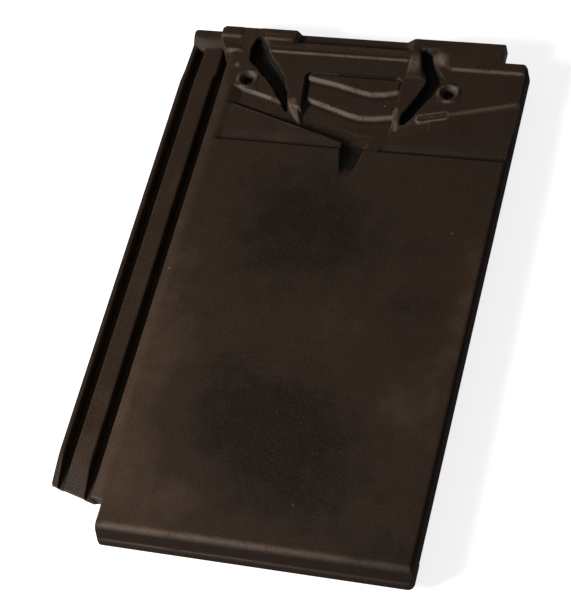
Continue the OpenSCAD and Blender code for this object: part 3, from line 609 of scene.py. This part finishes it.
def top_height(x, y, xp, vp, shape):
    """Weathered face: section across, ribs run out at the lower end, head features, nose profile along, round
    outer edges, slow warp. Returns the height and the share of painted shade (above 0) and painted highlight
    (below 0)."""
    across = np.interp(xp, *softened(section_line(), shape.press_soft / MM))
    arris = np.where(x > 100, across, FIELD_H)
    p = (y - Y_LOCK_NOSE - (X_NOSE - x) * LOCK_SKEW) * math.cos(LOCK_ANGLE)
    ends = LOCK_END + (LOCK_TOP - LOCK_END) * p / LOCK_RUN + 50 * np.maximum(xp - X_FIELD, 0)
    across = soft_min(across, ends, 1.0)
    z, shade_and_highlight = head_height(x, y, across, arris)
    # painted shade in the lock's grooves
    groove = smooth((12.5 - z) / 3) * smooth((p - 6) / 16) * (x < X_FIELD + 1)
    # painted highlight lines along the nose's brow
    brow = np.max([share * band(vp, Y_FOOT + away, half) for share, away, half in NOSE_HIGHLIGHTS], 0)
    brow = brow * np.interp(x, (X_NOSE + 1, X_NOSE + 6, 40, X_RIGHT), (0, 1, 1, 0.5))
    shade_and_highlight = np.where(groove > 0.02, np.maximum(shade_and_highlight, 0.3 * groove), shade_and_highlight)
    shade_and_highlight = np.where(brow > 0.01, np.minimum(shade_and_highlight, -brow), shade_and_highlight)
    z = soft_min(z, np.interp(vp, *softened(nose_line(), 0.25)), 0.8)
    r = shape.edge_r / MM
    near = np.clip(r - rim_distance(xp, vp), 0, r)
    z = z - (r - np.sqrt(r * r - near * near))
    slow = np.sin(0.031 * x + 0.5) * np.sin(0.023 * y + 1.1) + 0.6 * np.sin(0.071 * x - 0.053 * y)
    return z + (slow - 1.6) * shape.warp / MM / 3.2, shade_and_highlight


def bottom_height(x, y):
    """Underside: lowest of the section's hollows, nose lip, foot rib, thick head and both nibs."""
    beside = UNDER_WALL * (np.maximum(X_WEB - x, 0) + np.maximum(x - X_FLAP_IN, 0))
    z = np.minimum(profile(x, UNDER_SECTION), profile(y, NOSE_LIP))
    z = np.minimum(z, np.minimum(profile(y, FOOT_RIB), profile(y, THICK_HEAD)) + beside)
    for nx, _, _ in NAILS:
        z = np.minimum(z, profile(y, NIB) + UNDER_WALL * np.maximum(np.abs(x - nx) - NIB_HALF, 0))
    return z


def grid_lines(fixed, spans, least):
    """Line places: even steps over each span (start, end, step), joined to the fixed lines to be met."""
    fixed = np.unique(np.round(fixed, 4))
    even = np.concatenate([np.linspace(a, b, max(int(round((b - a) / s)), 1) + 1) for a, b, s in spans])
    far = np.abs(even[:, None] - fixed[None, :]).min(1) > least
    lines = np.sort(np.concatenate([fixed, even[far]]))
    return lines[np.concatenate([[True], np.diff(lines) > 1e-3])]


def near_lines(table):
    """Lines at each place of a table, shifted by each of its offsets."""
    return [place + offset for place, offsets in table for offset in offsets]


def top_lines():
    """Lines of the upper grid: close together at flanks, arrises and in the head, wide apart in the field."""
    flank = (-1.8, -1.1, -0.7, -0.4, -0.2, 0.0, 0.2, 0.4, 0.7, 1.1)
    across = near_lines((
        (X_GROOVE_A - 0.4, flank), (X_RIB_IN + 0.4, flank), (X_GROOVE_B - 0.4, flank),
        (X_FIELD + 0.4, flank), (X_LEFT, (0, 0.15, 0.4, 3)), (X_NOSE, (0, 0.4, 3)), (X_LUG, (0, 0.4, 1)),
        (X_NOTCH, (0, -0.4, -2)), (X_RIGHT, (0, -0.15, -5, -5.5))))
    x_spans = (
        (X_LEFT, -102, 0.9), (-102, -37, 0.95), (-37, -26, 0.5), (-26, 6, 1.1), (6, 16, 0.5), (16, 122, 0.95),
        (122, 138, 1.3), (138, X_RIGHT, 0.5))
    along = [Y_SHEAR, Y_BEND, Y_BANK_LOW, Y_BANK_HIGH, Y_TRAY_BACK]
    along += near_lines((
        (Y_FOOT, (0, 3, 5.5)), (Y_LOCK_NOSE, (0, 0.3, 3)), (Y_STEP, (-0.5, -0.25, 0)),
        (Y_FLAP, (-5, -0.4, 0)), (Y_LOCK_HEAD, (-3, -0.4, 0)), (Y_HEAD, (-2, -1, -0.4, 0))))
    y_spans = (
        (Y_FOOT, -217, 0.6), (-217, Y_LOCK_NOSE, 2), (Y_LOCK_NOSE, -199, 1), (-199, Y_SHEAR, 4),
        (Y_SHEAR, 92, 11), (92, Y_STEP, 1.0), (Y_STEP, Y_BEND, 0.35), (Y_BEND, Y_BANK_LOW, 0.04),
        (Y_BANK_LOW, Y_BANK_HIGH, 0.9), (Y_BANK_HIGH, Y_TRAY_BACK, 0.9), (Y_TRAY_BACK, Y_HEAD, 0.95))
    return grid_lines(across, x_spans, 0.14), grid_lines(along, y_spans, 0.02)


def bottom_lines():
    """Lines of the underside: a pair at each wall, wide apart between them."""
    across = [X_WEB - 0.5, X_FLAP_IN] + [x for x, _ in UNDER_SECTION]
    across += near_lines((
        (X_LEFT, (0, 0.9, 3)), (X_LUG, (0, 1)), (X_FIELD, (-0.4, 0.4)), (X_NOSE, (0, 3)), (X_NOTCH, (-2, 0)),
        (X_RIGHT, (-5.5, -5, -3.5, -2, -0.9, 0))))
    along = [Y_SHEAR] + [y for line in (NOSE_LIP, FOOT_RIB, THICK_HEAD, NIB) for y, _ in line]
    along += near_lines((
        (Y_FOOT, (3, 4, 5.5)), (Y_LOCK_NOSE, (0, 1.5, 3)), (Y_FLAP, (-5, -3, 0)), (Y_LOCK_HEAD, (-3, 0)),
        (Y_HEAD, (-2, -1))))
    for nx, ny, _ in NAILS:
        across += [nx + side * d for side in (-1, 1) for d in (0, NAIL_UNDER, NIB_HALF, NIB_HALF + NIB_WALL)]
        along += [ny - NAIL_UNDER, ny, ny + NAIL_UNDER]
    return grid_lines(across, ((X_LEFT, X_RIGHT, 11),), 2.0), grid_lines(along, ((Y_FOOT, Y_HEAD, 12),), 2.0)


def rim_loop(xs, vs, ids):
    """Outer rim of a grid, anticlockwise: vertex numbers, and places that count the sides from 0 to 10."""
    stops = ((X_NOSE, Y_FOOT), (X_RIGHT, Y_FOOT), (X_RIGHT, Y_FLAP), (X_NOTCH, Y_FLAP), (X_NOTCH, Y_HEAD),
             (X_LUG, Y_HEAD), (X_LUG, Y_LOCK_HEAD), (X_LEFT, Y_LOCK_HEAD), (X_LEFT, Y_LOCK_NOSE),
             (X_NOSE, Y_LOCK_NOSE))
    at = [(int(np.abs(xs - x).argmin()), int(np.abs(vs - v).argmin())) for x, v in stops]
    loop, place = [], []
    for side, ((i0, j0), (i1, j1)) in enumerate(zip(at, at[1:] + at[:1])):
        lines, start, end = (xs, i0, i1) if j0 == j1 else (vs, j0, j1)
        k = np.arange(start, end, 1 if end > start else -1)
        loop.append(ids[j0, k] if j0 == j1 else ids[k, i0])
        place.append(side + (lines[k] - lines[start]) / (lines[end] - lines[start]))
    return np.concatenate(loop), np.concatenate(place), float(len(stops))


def block_loop(ids, i0, i1, j0, j1):
    """Rim of a block of cells, anticlockwise from its lower left corner."""
    return np.concatenate([ids[j0, i0:i1], ids[j0:j1, i1], ids[j1, i1:i0:-1], ids[j1:j0:-1, i0]])


def zip_rims(a, place_a, b, place_b, total):
    """Band of triangles between two closed rims: each rim steps on at the middle of its own segments,
    in the order of their places, so the band needs no equal counts."""
    ends = [np.append(p[1:], p[0] + total) for p in (place_a, place_b)]
    middle = np.concatenate([(place_a + ends[0]) / 2, (place_b + ends[1]) / 2])
    is_a = np.argsort(middle, kind="stable") < len(a)
    step_a, step_b = np.cumsum(is_a) - is_a, np.cumsum(~is_a) - ~is_a
    third = np.where(is_a, a[(step_a + 1) % len(a)], b[(step_b + 1) % len(b)])
    return np.stack([a[step_a % len(a)], b[step_b % len(b)], third], 1)


def cell_quads(ids, keep):
    """Four corners of each kept cell of a grid, anticlockwise from above."""
    return np.stack([ids[:-1, :-1], ids[:-1, 1:], ids[1:, 1:], ids[1:, :-1]], -1)[keep]


def cells_in_outline(xs, vs):
    """True for each cell inside the tile's outline: both notches and the lock's lower corner are left out."""
    x, v = np.meshgrid((xs[1:] + xs[:-1]) / 2, (vs[1:] + vs[:-1]) / 2)
    foot, flap = (x < X_NOSE) & (v < Y_LOCK_NOSE), (x > X_NOTCH) & (v > Y_FLAP)
    return ~(foot | flap | ((x < X_LUG) & (v > Y_LOCK_HEAD)))


def nearest(lines, middle, reach):
    """Numbers of the lines nearest to a reach before and after a middle."""
    return [int(np.abs(lines - middle - d).argmin()) for d in (-reach, reach)]


def turned(numbers, points, nx, ny):
    """Numbers of the points round a hole in clockwise order, and the turn of each, from 0 to a full turn."""
    turn = np.mod(-np.arctan2(points[:, 1] - ny, points[:, 0] - nx), 2 * math.pi)
    order = np.argsort(turn, kind="stable")
    return numbers[order], turn[order]


def nail_rings(edge, nx, ny, crest):
    """Rings of points from a square edge round a nail hole to its mouth and down its bore. Returns them with
    their painted light: painted shade in the bore, a painted highlight on the far right of the rim."""
    mouth, crest = np.array(NAIL_MOUTH), crest - RIM_SINK
    a = np.arctan2(edge[:, 1] - ny, edge[:, 0] - nx)
    rings = [np.stack([nx + r * np.cos(a), ny + r * np.sin(a), crest + h + 0 * a], 1) for r, h in mouth]
    half = (edge + rings[0]) / 2
    half[:, 2] = np.minimum(crest, half[:, 2] + 0.1)
    bore = rings[-1] * (1, 1, 0) + (0, 0, HEAD_UNDER_H)
    r = np.concatenate([[9.0], mouth[:, 0], [0.0]])[:, None]
    # painted shade in the bore, painted highlight on the far right of the rim
    shade_and_highlight = smooth((4.4 - r) / 1.2) - 0.7 * smooth(r - 4.2) * np.maximum(np.cos(a - 0.9), 0)
    return [half] + rings + [bore], shade_and_highlight.ravel()


def tile_mesh(shape):
    """Closed skin of the tile: upper grid, underside grid, a band of wall round the outline, and for each
    nail hole rings that lead from a square of cells to the mouth and down the bore. Returns points, quads,
    triangles and the share of painted shade and highlight at each point."""
    xs, vs = top_lines()
    x, y, xp, vp = plan(xs, vs, True)
    z, shade_and_highlight = top_height(x, y, xp, vp, shape)
    top = np.stack([x, y, z], -1).reshape(-1, 3)
    ids = np.arange(x.size).reshape(x.shape)
    keep = cells_in_outline(xs, vs)
    bx, bv = bottom_lines()
    ux, uy, _, _ = plan(bx, bv, False)
    under = np.stack([ux, uy, bottom_height(ux, uy)], -1).reshape(-1, 3)
    under_ids = x.size + np.arange(ux.size).reshape(ux.shape)
    under_keep = cells_in_outline(bx, bv)
    points, shades_and_highlights = [top, under], [shade_and_highlight.ravel(), np.zeros(ux.size)]
    count = x.size + ux.size
    rim, place, sides = rim_loop(xs, vs, ids)
    low, low_place, _ = rim_loop(bx, bv, under_ids)
    quads, tris = [], [zip_rims(rim, place, low, low_place, sides)]
    for nx, ny, crest in NAILS:
        i0, i1 = nearest(xs, nx, NAIL_CELLS)
        j0, j1 = nearest(y[:, (i0 + i1) // 2], ny, NAIL_CELLS)
        keep[j0:j1, i0:i1] = False
        square = block_loop(ids, i0, i1, j0, j1)
        rings, ring_shade_and_highlight = nail_rings(top[square], nx, ny, crest)
        ring_ids = count + np.arange(len(rings) * len(square)).reshape(len(rings), -1)
        count += ring_ids.size
        points.append(np.concatenate(rings))
        shades_and_highlights.append(ring_shade_and_highlight)
        hoops = np.concatenate([square[None], ring_ids])
        after = np.roll(hoops, -1, 1)
        quads.append(np.stack([hoops[:-1], after[:-1], after[1:], hoops[1:]], -1).reshape(-1, 4))
        k0, k1 = nearest(bx, nx, NAIL_UNDER)
        l0, l1 = nearest(bv, ny, NAIL_UNDER)
        under_keep[l0:l1, k0:k1] = False
        low = block_loop(under_ids, k0, k1, l0, l1)
        bore, hole = turned(ring_ids[-1], rings[-1], nx, ny), turned(low, under[low - x.size], nx, ny)
        tris.append(zip_rims(*bore, *hole, 2 * math.pi))
    quads += [cell_quads(ids, keep), cell_quads(under_ids, under_keep)[:, ::-1]]
    return [np.concatenate(part) for part in (points, quads, tris, shades_and_highlights)]


def convexity_of(mesh):
    """Convexity at each vertex: how far the neighbours fall below its tangent plane, per length of edge,
    averaged once more over the neighbours. Arrises are above 0, hollows below 0; it marks worn arrises and
    the concave creases that get painted shade. The second value is 1 on the steep outer faces of the nose,
    the lock's lower end and the right side, which get painted shade."""
    n = len(mesh.vertices)
    co, normal = np.empty(n * 3, np.float32), np.empty(n * 3, np.float32)
    mesh.vertices.foreach_get("co", co)
    mesh.vertex_normals.foreach_get("vector", normal)
    edges = np.empty(len(mesh.edges) * 2, np.int32)
    mesh.edges.foreach_get("vertices", edges)
    co, normal, (a, b) = co.reshape(-1, 3), normal.reshape(-1, 3), edges.reshape(-1, 2).T
    d = co[b] - co[a]
    length = np.maximum(np.linalg.norm(d, axis=1), 1e-6)
    fall_a = -(normal[a] * d).sum(1) / length
    fall_b = (normal[b] * d).sum(1) / length
    weight = np.minimum(length, 1.5 * MM)
    total = np.maximum(np.bincount(a, weight, n) + np.bincount(b, weight, n), 1e-9)
    bend = (np.bincount(a, fall_a * weight, n) + np.bincount(b, fall_b * weight, n)) / total
    mean = (np.bincount(a, bend[b] * weight, n) + np.bincount(b, bend[a] * weight, n)) / total
    x, y, _ = co.T / MM
    front = (y < Y_FOOT + 14) | ((x < X_NOSE + 1) & (y < Y_SHEAR - 20))
    nose = smooth((-normal[:, 1] * front - 0.75) / 0.17)
    side = smooth((normal[:, 0] * (x > X_RIGHT - 4) - 0.5) / 0.2)
    return (bend + mean) / 2, np.maximum(nose, side)


def fire_of(points):
    """Marks of the firing at each point: bell-shaped dark clouds below 0 and paler areas above 0."""
    x, y, _ = points.T
    fire = np.zeros(len(points))
    for cx, cy, rx, ry, share in FIRE_MARKS:
        fire += share * np.exp(-((x - cx) / rx) ** 2 - ((y - cy) / ry) ** 2)
    return fire


class Nodes:
    """Short way to add linked shader nodes."""

    def __init__(self, material):
        material.use_nodes = True
        self.tree = material.node_tree
        self.tree.nodes.clear()

    def add(self, kind, inputs=None, **settings):
        """A new node; an input is a value or a socket to link."""
        node = self.tree.nodes.new(kind)
        for key, value in settings.items():
            setattr(node, key, value)
        for key, value in (inputs or {}).items():
            if isinstance(value, bpy.types.NodeSocket):
                self.tree.links.new(value, node.inputs[key])
            else:
                node.inputs[key].default_value = value
        return node

    def times(self, a, b):
        """Product of two values."""
        return self.add("ShaderNodeMath", {0: a, 1: b}, operation="MULTIPLY").outputs[0]

    def plus(self, a, b, clamp=False):
        """Sum of two values."""
        return self.add("ShaderNodeMath", {0: a, 1: b}, operation="ADD", use_clamp=clamp).outputs[0]

    def ramp(self, value, low, high):
        """Value brought to 0 at low and 1 at high, smoothly."""
        inputs = {"Value": value, "From Min": low, "From Max": high}
        return self.add("ShaderNodeMapRange", inputs, interpolation_type="SMOOTHSTEP").outputs["Result"]

    def mix(self, share, amount, a, b):
        """Colour a with a share, times an amount, of colour b."""
        inputs = {"Factor": self.times(share, amount), 6: a, 7: b}
        return self.add("ShaderNodeMix", inputs, data_type="RGBA").outputs[2]

    def noise(self, vector, scale, detail, rough=0.55):
        """Cloudy noise at a scale per metre."""
        inputs = {"Vector": vector, "Scale": scale, "Detail": detail, "Roughness": rough}
        return self.add("ShaderNodeTexNoise", inputs).outputs["Fac"]

    def dots(self, vector, scale):
        """Distance to the nearest of scattered points, at a scale per metre."""
        inputs = {"Vector": vector, "Scale": scale, "Randomness": 1.0}
        return self.add("ShaderNodeTexVoronoi", inputs).outputs["Distance"]


def engobe_material(finish):
    """Satin dark brown engobe: clouds and flashes of the firing, specks, grain, paler arrises, painted shade
    in inner corners and on steep faces, painted highlights, and painted shade in hollows, one over the other."""
    material = bpy.data.materials.new("engobe")
    n = Nodes(material)
    names = ("engobe", "cloud_and_shade", "flash", "worn_and_highlight", "hollow_shade", "side_shade")
    engobe, cloud_and_shade, flash, worn_and_highlight, hollow_shade, side_shade = ((*getattr(finish, name), 1.0) for name in names)
    place = n.add("ShaderNodeTexCoord").outputs["Object"]
    convexity, flank, shade_and_highlight, fire = (n.add("ShaderNodeAttribute", attribute_name=name).outputs["Fac"]
                                for name in ("convexity", "flank", "shade_and_highlight", "fire"))
    slow = n.noise(place, 11.0, 4.0, 0.6)
    mottle = n.noise(place, 45.0, 4.0, 0.62)
    grain = n.noise(place, 620.0, 3.0, 0.65)
    uneven = n.plus(grain, mottle)

    # Firing
    drift = n.plus(n.times(slow, 1.1), n.times(mottle, 0.8))
    fired = n.plus(fire, n.plus(drift, -0.95))
    colour = n.mix(n.ramp(fired, 0.0, -0.8), 1.0, engobe, cloud_and_shade)
    colour = n.mix(n.ramp(fired, 0.0, 0.9), 1.0, colour, flash)

    # Specks, flecks and grain
    colour = n.mix(n.ramp(n.dots(place, 300.0), 0.2, 0.06), 0.45, colour, flash)
    colour = n.mix(n.ramp(n.dots(place, 30.0), 0.034, 0.018), 0.8, colour, worn_and_highlight)
    colour = n.mix(n.ramp(grain, 0.53, 0.72), 0.5, colour, flash)
    colour = n.mix(n.ramp(grain, 0.47, 0.28), 0.6, colour, cloud_and_shade)

    # Worn arrises; painted shade in concave inner corners and on the steep outer faces
    rub_and_highlight = n.times(n.ramp(convexity, 0.05, 0.30), n.ramp(mottle, 0.25, 0.65))
    rub_and_highlight = n.times(rub_and_highlight, n.ramp(shade_and_highlight, 0.2, 0.02))
    colour = n.mix(rub_and_highlight, 0.7, colour, worn_and_highlight)
    colour = n.mix(n.ramp(convexity, -0.03, -0.22), 0.6, colour, cloud_and_shade)
    colour = n.mix(flank, 0.92, colour, side_shade)

    # Painted highlights on lit places, and painted shade in hollows and shadow lines
    rub_and_highlight = n.times(n.ramp(shade_and_highlight, -0.05, -1.0), n.ramp(uneven, 0.6, 1.1))
    colour = n.mix(rub_and_highlight, 0.85, colour, worn_and_highlight)
    colour = n.mix(n.ramp(shade_and_highlight, 0.0, 0.9), 0.9, colour, hollow_shade)

    # Gloss and relief
    rough = n.plus(n.times(uneven, 0.16), finish.gloss - 0.16)
    rough = n.plus(rough, n.times(flank, 0.3))
    relief = n.plus(n.times(grain, 0.6), n.noise(place, 1500.0, 2.0))
    fine = n.add("ShaderNodeBump", {"Strength": 0.5, "Distance": 0.0007, "Height": relief}).outputs["Normal"]
    wavy = n.add("ShaderNodeBump", {"Strength": 0.3, "Distance": 0.002, "Height": mottle, "Normal": fine})
    shader = n.add("ShaderNodeBsdfPrincipled", {
        "Base Color": colour, "Roughness": rough, "Specular IOR Level": 0.13,
        "Normal": wavy.outputs["Normal"]})
    n.add("ShaderNodeOutputMaterial", {"Surface": shader.outputs[0]})
    return material


def floor_material(stage):
    """Pale floor that takes the shadow, with a glow that only the camera, mirrors and glass see."""
    material = bpy.data.materials.new("pale_floor")
    n = Nodes(material)
    path = n.add("ShaderNodeLightPath").outputs
    seen = n.times(path["Is Camera Ray"], SEEN_GLOW)
    mirrored = n.plus(path["Is Glossy Ray"], path["Is Transmission Ray"], True)
    strength = n.plus(seen, n.times(mirrored, MIRRORED_GLOW))
    glow = n.add("ShaderNodeEmission", {"Strength": strength})
    pale = n.add("ShaderNodeBsdfDiffuse", {"Color": (*stage.floor, 1.0)})
    both = n.add("ShaderNodeAddShader", {0: glow.outputs[0], 1: pale.outputs[0]})
    n.add("ShaderNodeOutputMaterial", {"Surface": both.outputs[0]})
    return material


class PressedTile(bpy.types.Operator):
    """Build the pressed and fired tile as one closed skin with its engobe"""

    bl_idname = "mesh.pressed_roof_tile"
    bl_label = "Pressed tile"
    bl_options = {"REGISTER", "UNDO"}

    def execute(self, context):
        points, quads, tris, shade_and_highlight = tile_mesh(context.scene.tile_shape)
        used = np.unique(np.concatenate([quads.ravel(), tris.ravel()]))
        points, shade_and_highlight = points[used], shade_and_highlight[used]
        quads, tris = np.searchsorted(used, quads), np.searchsorted(used, tris)
        mesh = bpy.data.meshes.new("pressed_tile")
        mesh.from_pydata((points * MM).tolist(), [], quads.tolist() + tris.tolist())
        mesh.update()
        mesh.shade_smooth()
        mesh.set_sharp_from_angle(angle=math.radians(50))
        convexity, flank = convexity_of(mesh)
        for name, value in (("convexity", convexity), ("flank", flank), ("shade_and_highlight", shade_and_highlight), ("fire", fire_of(points))):
            layer = mesh.attributes.new(name, "FLOAT", "POINT")
            layer.data.foreach_set("value", value.astype(np.float32))
        mesh.materials.append(engobe_material(context.scene.clay_finish))
        tile = bpy.data.objects.new("pressed_tile", mesh)
        context.scene.collection.objects.link(tile)
        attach(tile, "root")
        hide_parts("roof_tile")
        return {"FINISHED"}


class StudioStageBuild(bpy.types.Operator):
    """Set up the pale floor, the softbox, the even light and the camera"""

    bl_idname = "scene.tile_studio_stage"
    bl_label = "Studio stage"
    bl_options = {"REGISTER", "UNDO"}

    def execute(self, context):
        scene, stage = context.scene, context.scene.studio_stage
        self.floor(scene, stage)
        self.softbox(scene, stage)
        world = bpy.data.worlds.new("studio")
        scene.world = world
        world.use_nodes = True
        sky = world.node_tree.nodes["Background"]
        sky.inputs["Color"].default_value = (1.0, 1.0, 1.0, 1.0)
        sky.inputs["Strength"].default_value = stage.fill
        self.camera(scene)
        scene.view_settings.view_transform = "Standard"
        return {"FINISHED"}

    def floor(self, scene, stage):
        """One square at floor level."""
        corners = [(FLOOR_HALF * a, FLOOR_HALF * b, 0) for a, b in ((-1, -1), (1, -1), (1, 1), (-1, 1))]
        mesh = bpy.data.meshes.new("floor")
        mesh.from_pydata(corners, [], [(0, 1, 2, 3)])
        mesh.materials.append(floor_material(stage))
        floor = bpy.data.objects.new("floor", mesh)
        scene.collection.objects.link(floor)

    def softbox(self, scene, stage):
        """A square lamp that faces the tile; azimuth is measured from the nose towards the right."""
        a, e = math.radians(SOFTBOX_AZIMUTH), math.radians(SOFTBOX_ELEVATION)
        toward = Vector((math.sin(a) * math.cos(e), -math.cos(a) * math.cos(e), math.sin(e)))
        data = bpy.data.lights.new("softbox", "AREA")
        data.energy, data.size = stage.key, SOFTBOX_SIZE
        lamp = bpy.data.objects.new("softbox", data)
        lamp.location = toward * SOFTBOX_AWAY
        lamp.rotation_mode = "QUATERNION"
        lamp.rotation_quaternion = (-toward).to_track_quat("-Z", "Y")
        scene.collection.objects.link(lamp)

    def camera(self, scene):
        """The camera looks along minus its back vector at the aim point."""
        back = Vector(CAM_BACK).normalized()
        right = Vector(CAM_UP).cross(back).normalized()
        up = back.cross(right)
        data = bpy.data.cameras.new("camera")
        data.lens, data.sensor_width = CAM_LENS, 36.0
        data.clip_start, data.clip_end = 0.05, 20.0
        camera = bpy.data.objects.new("camera", data)
        turn = Matrix((right, up, back)).transposed().to_4x4()
        camera.matrix_world = Matrix.Translation((Vector(CAM_AIM) + CAM_AWAY * back) * MM) @ turn
        scene.collection.objects.link(camera)
        scene.camera = camera


class RoofTilePanel(bpy.types.Panel):
    """Steps and settings of the roof tile"""

    bl_idname = "VIEW3D_PT_roof_tile"
    bl_label = "Roof tile"
    bl_space_type = "VIEW_3D"
    bl_region_type = "UI"
    bl_category = "Roof tile"

    def draw(self, context):
        layout, scene = self.layout, context.scene
        for step in (PressedTile, StudioStageBuild):
            layout.operator(step.bl_idname)
        for group in (scene.tile_shape, scene.clay_finish, scene.studio_stage):
            box = layout.box()
            for name in group.__annotations__:
                box.prop(group, name)


CLASSES = (TileShape, ClayFinish, StudioStage, PressedTile, StudioStageBuild, RoofTilePanel)


def register():
    for c in CLASSES:
        bpy.utils.register_class(c)
    bpy.types.Scene.tile_shape = bpy.props.PointerProperty(type=TileShape)
    bpy.types.Scene.clay_finish = bpy.props.PointerProperty(type=ClayFinish)
    bpy.types.Scene.studio_stage = bpy.props.PointerProperty(type=StudioStage)


def unregister():
    for name in ("tile_shape", "clay_finish", "studio_stage"):
        delattr(bpy.types.Scene, name)
    for c in reversed(CLASSES):
        bpy.utils.unregister_class(c)


def main():
    register()
    bpy.ops.mesh.pressed_roof_tile()
    bpy.ops.scene.tile_studio_stage()


if __name__ == "__main__":
    main()
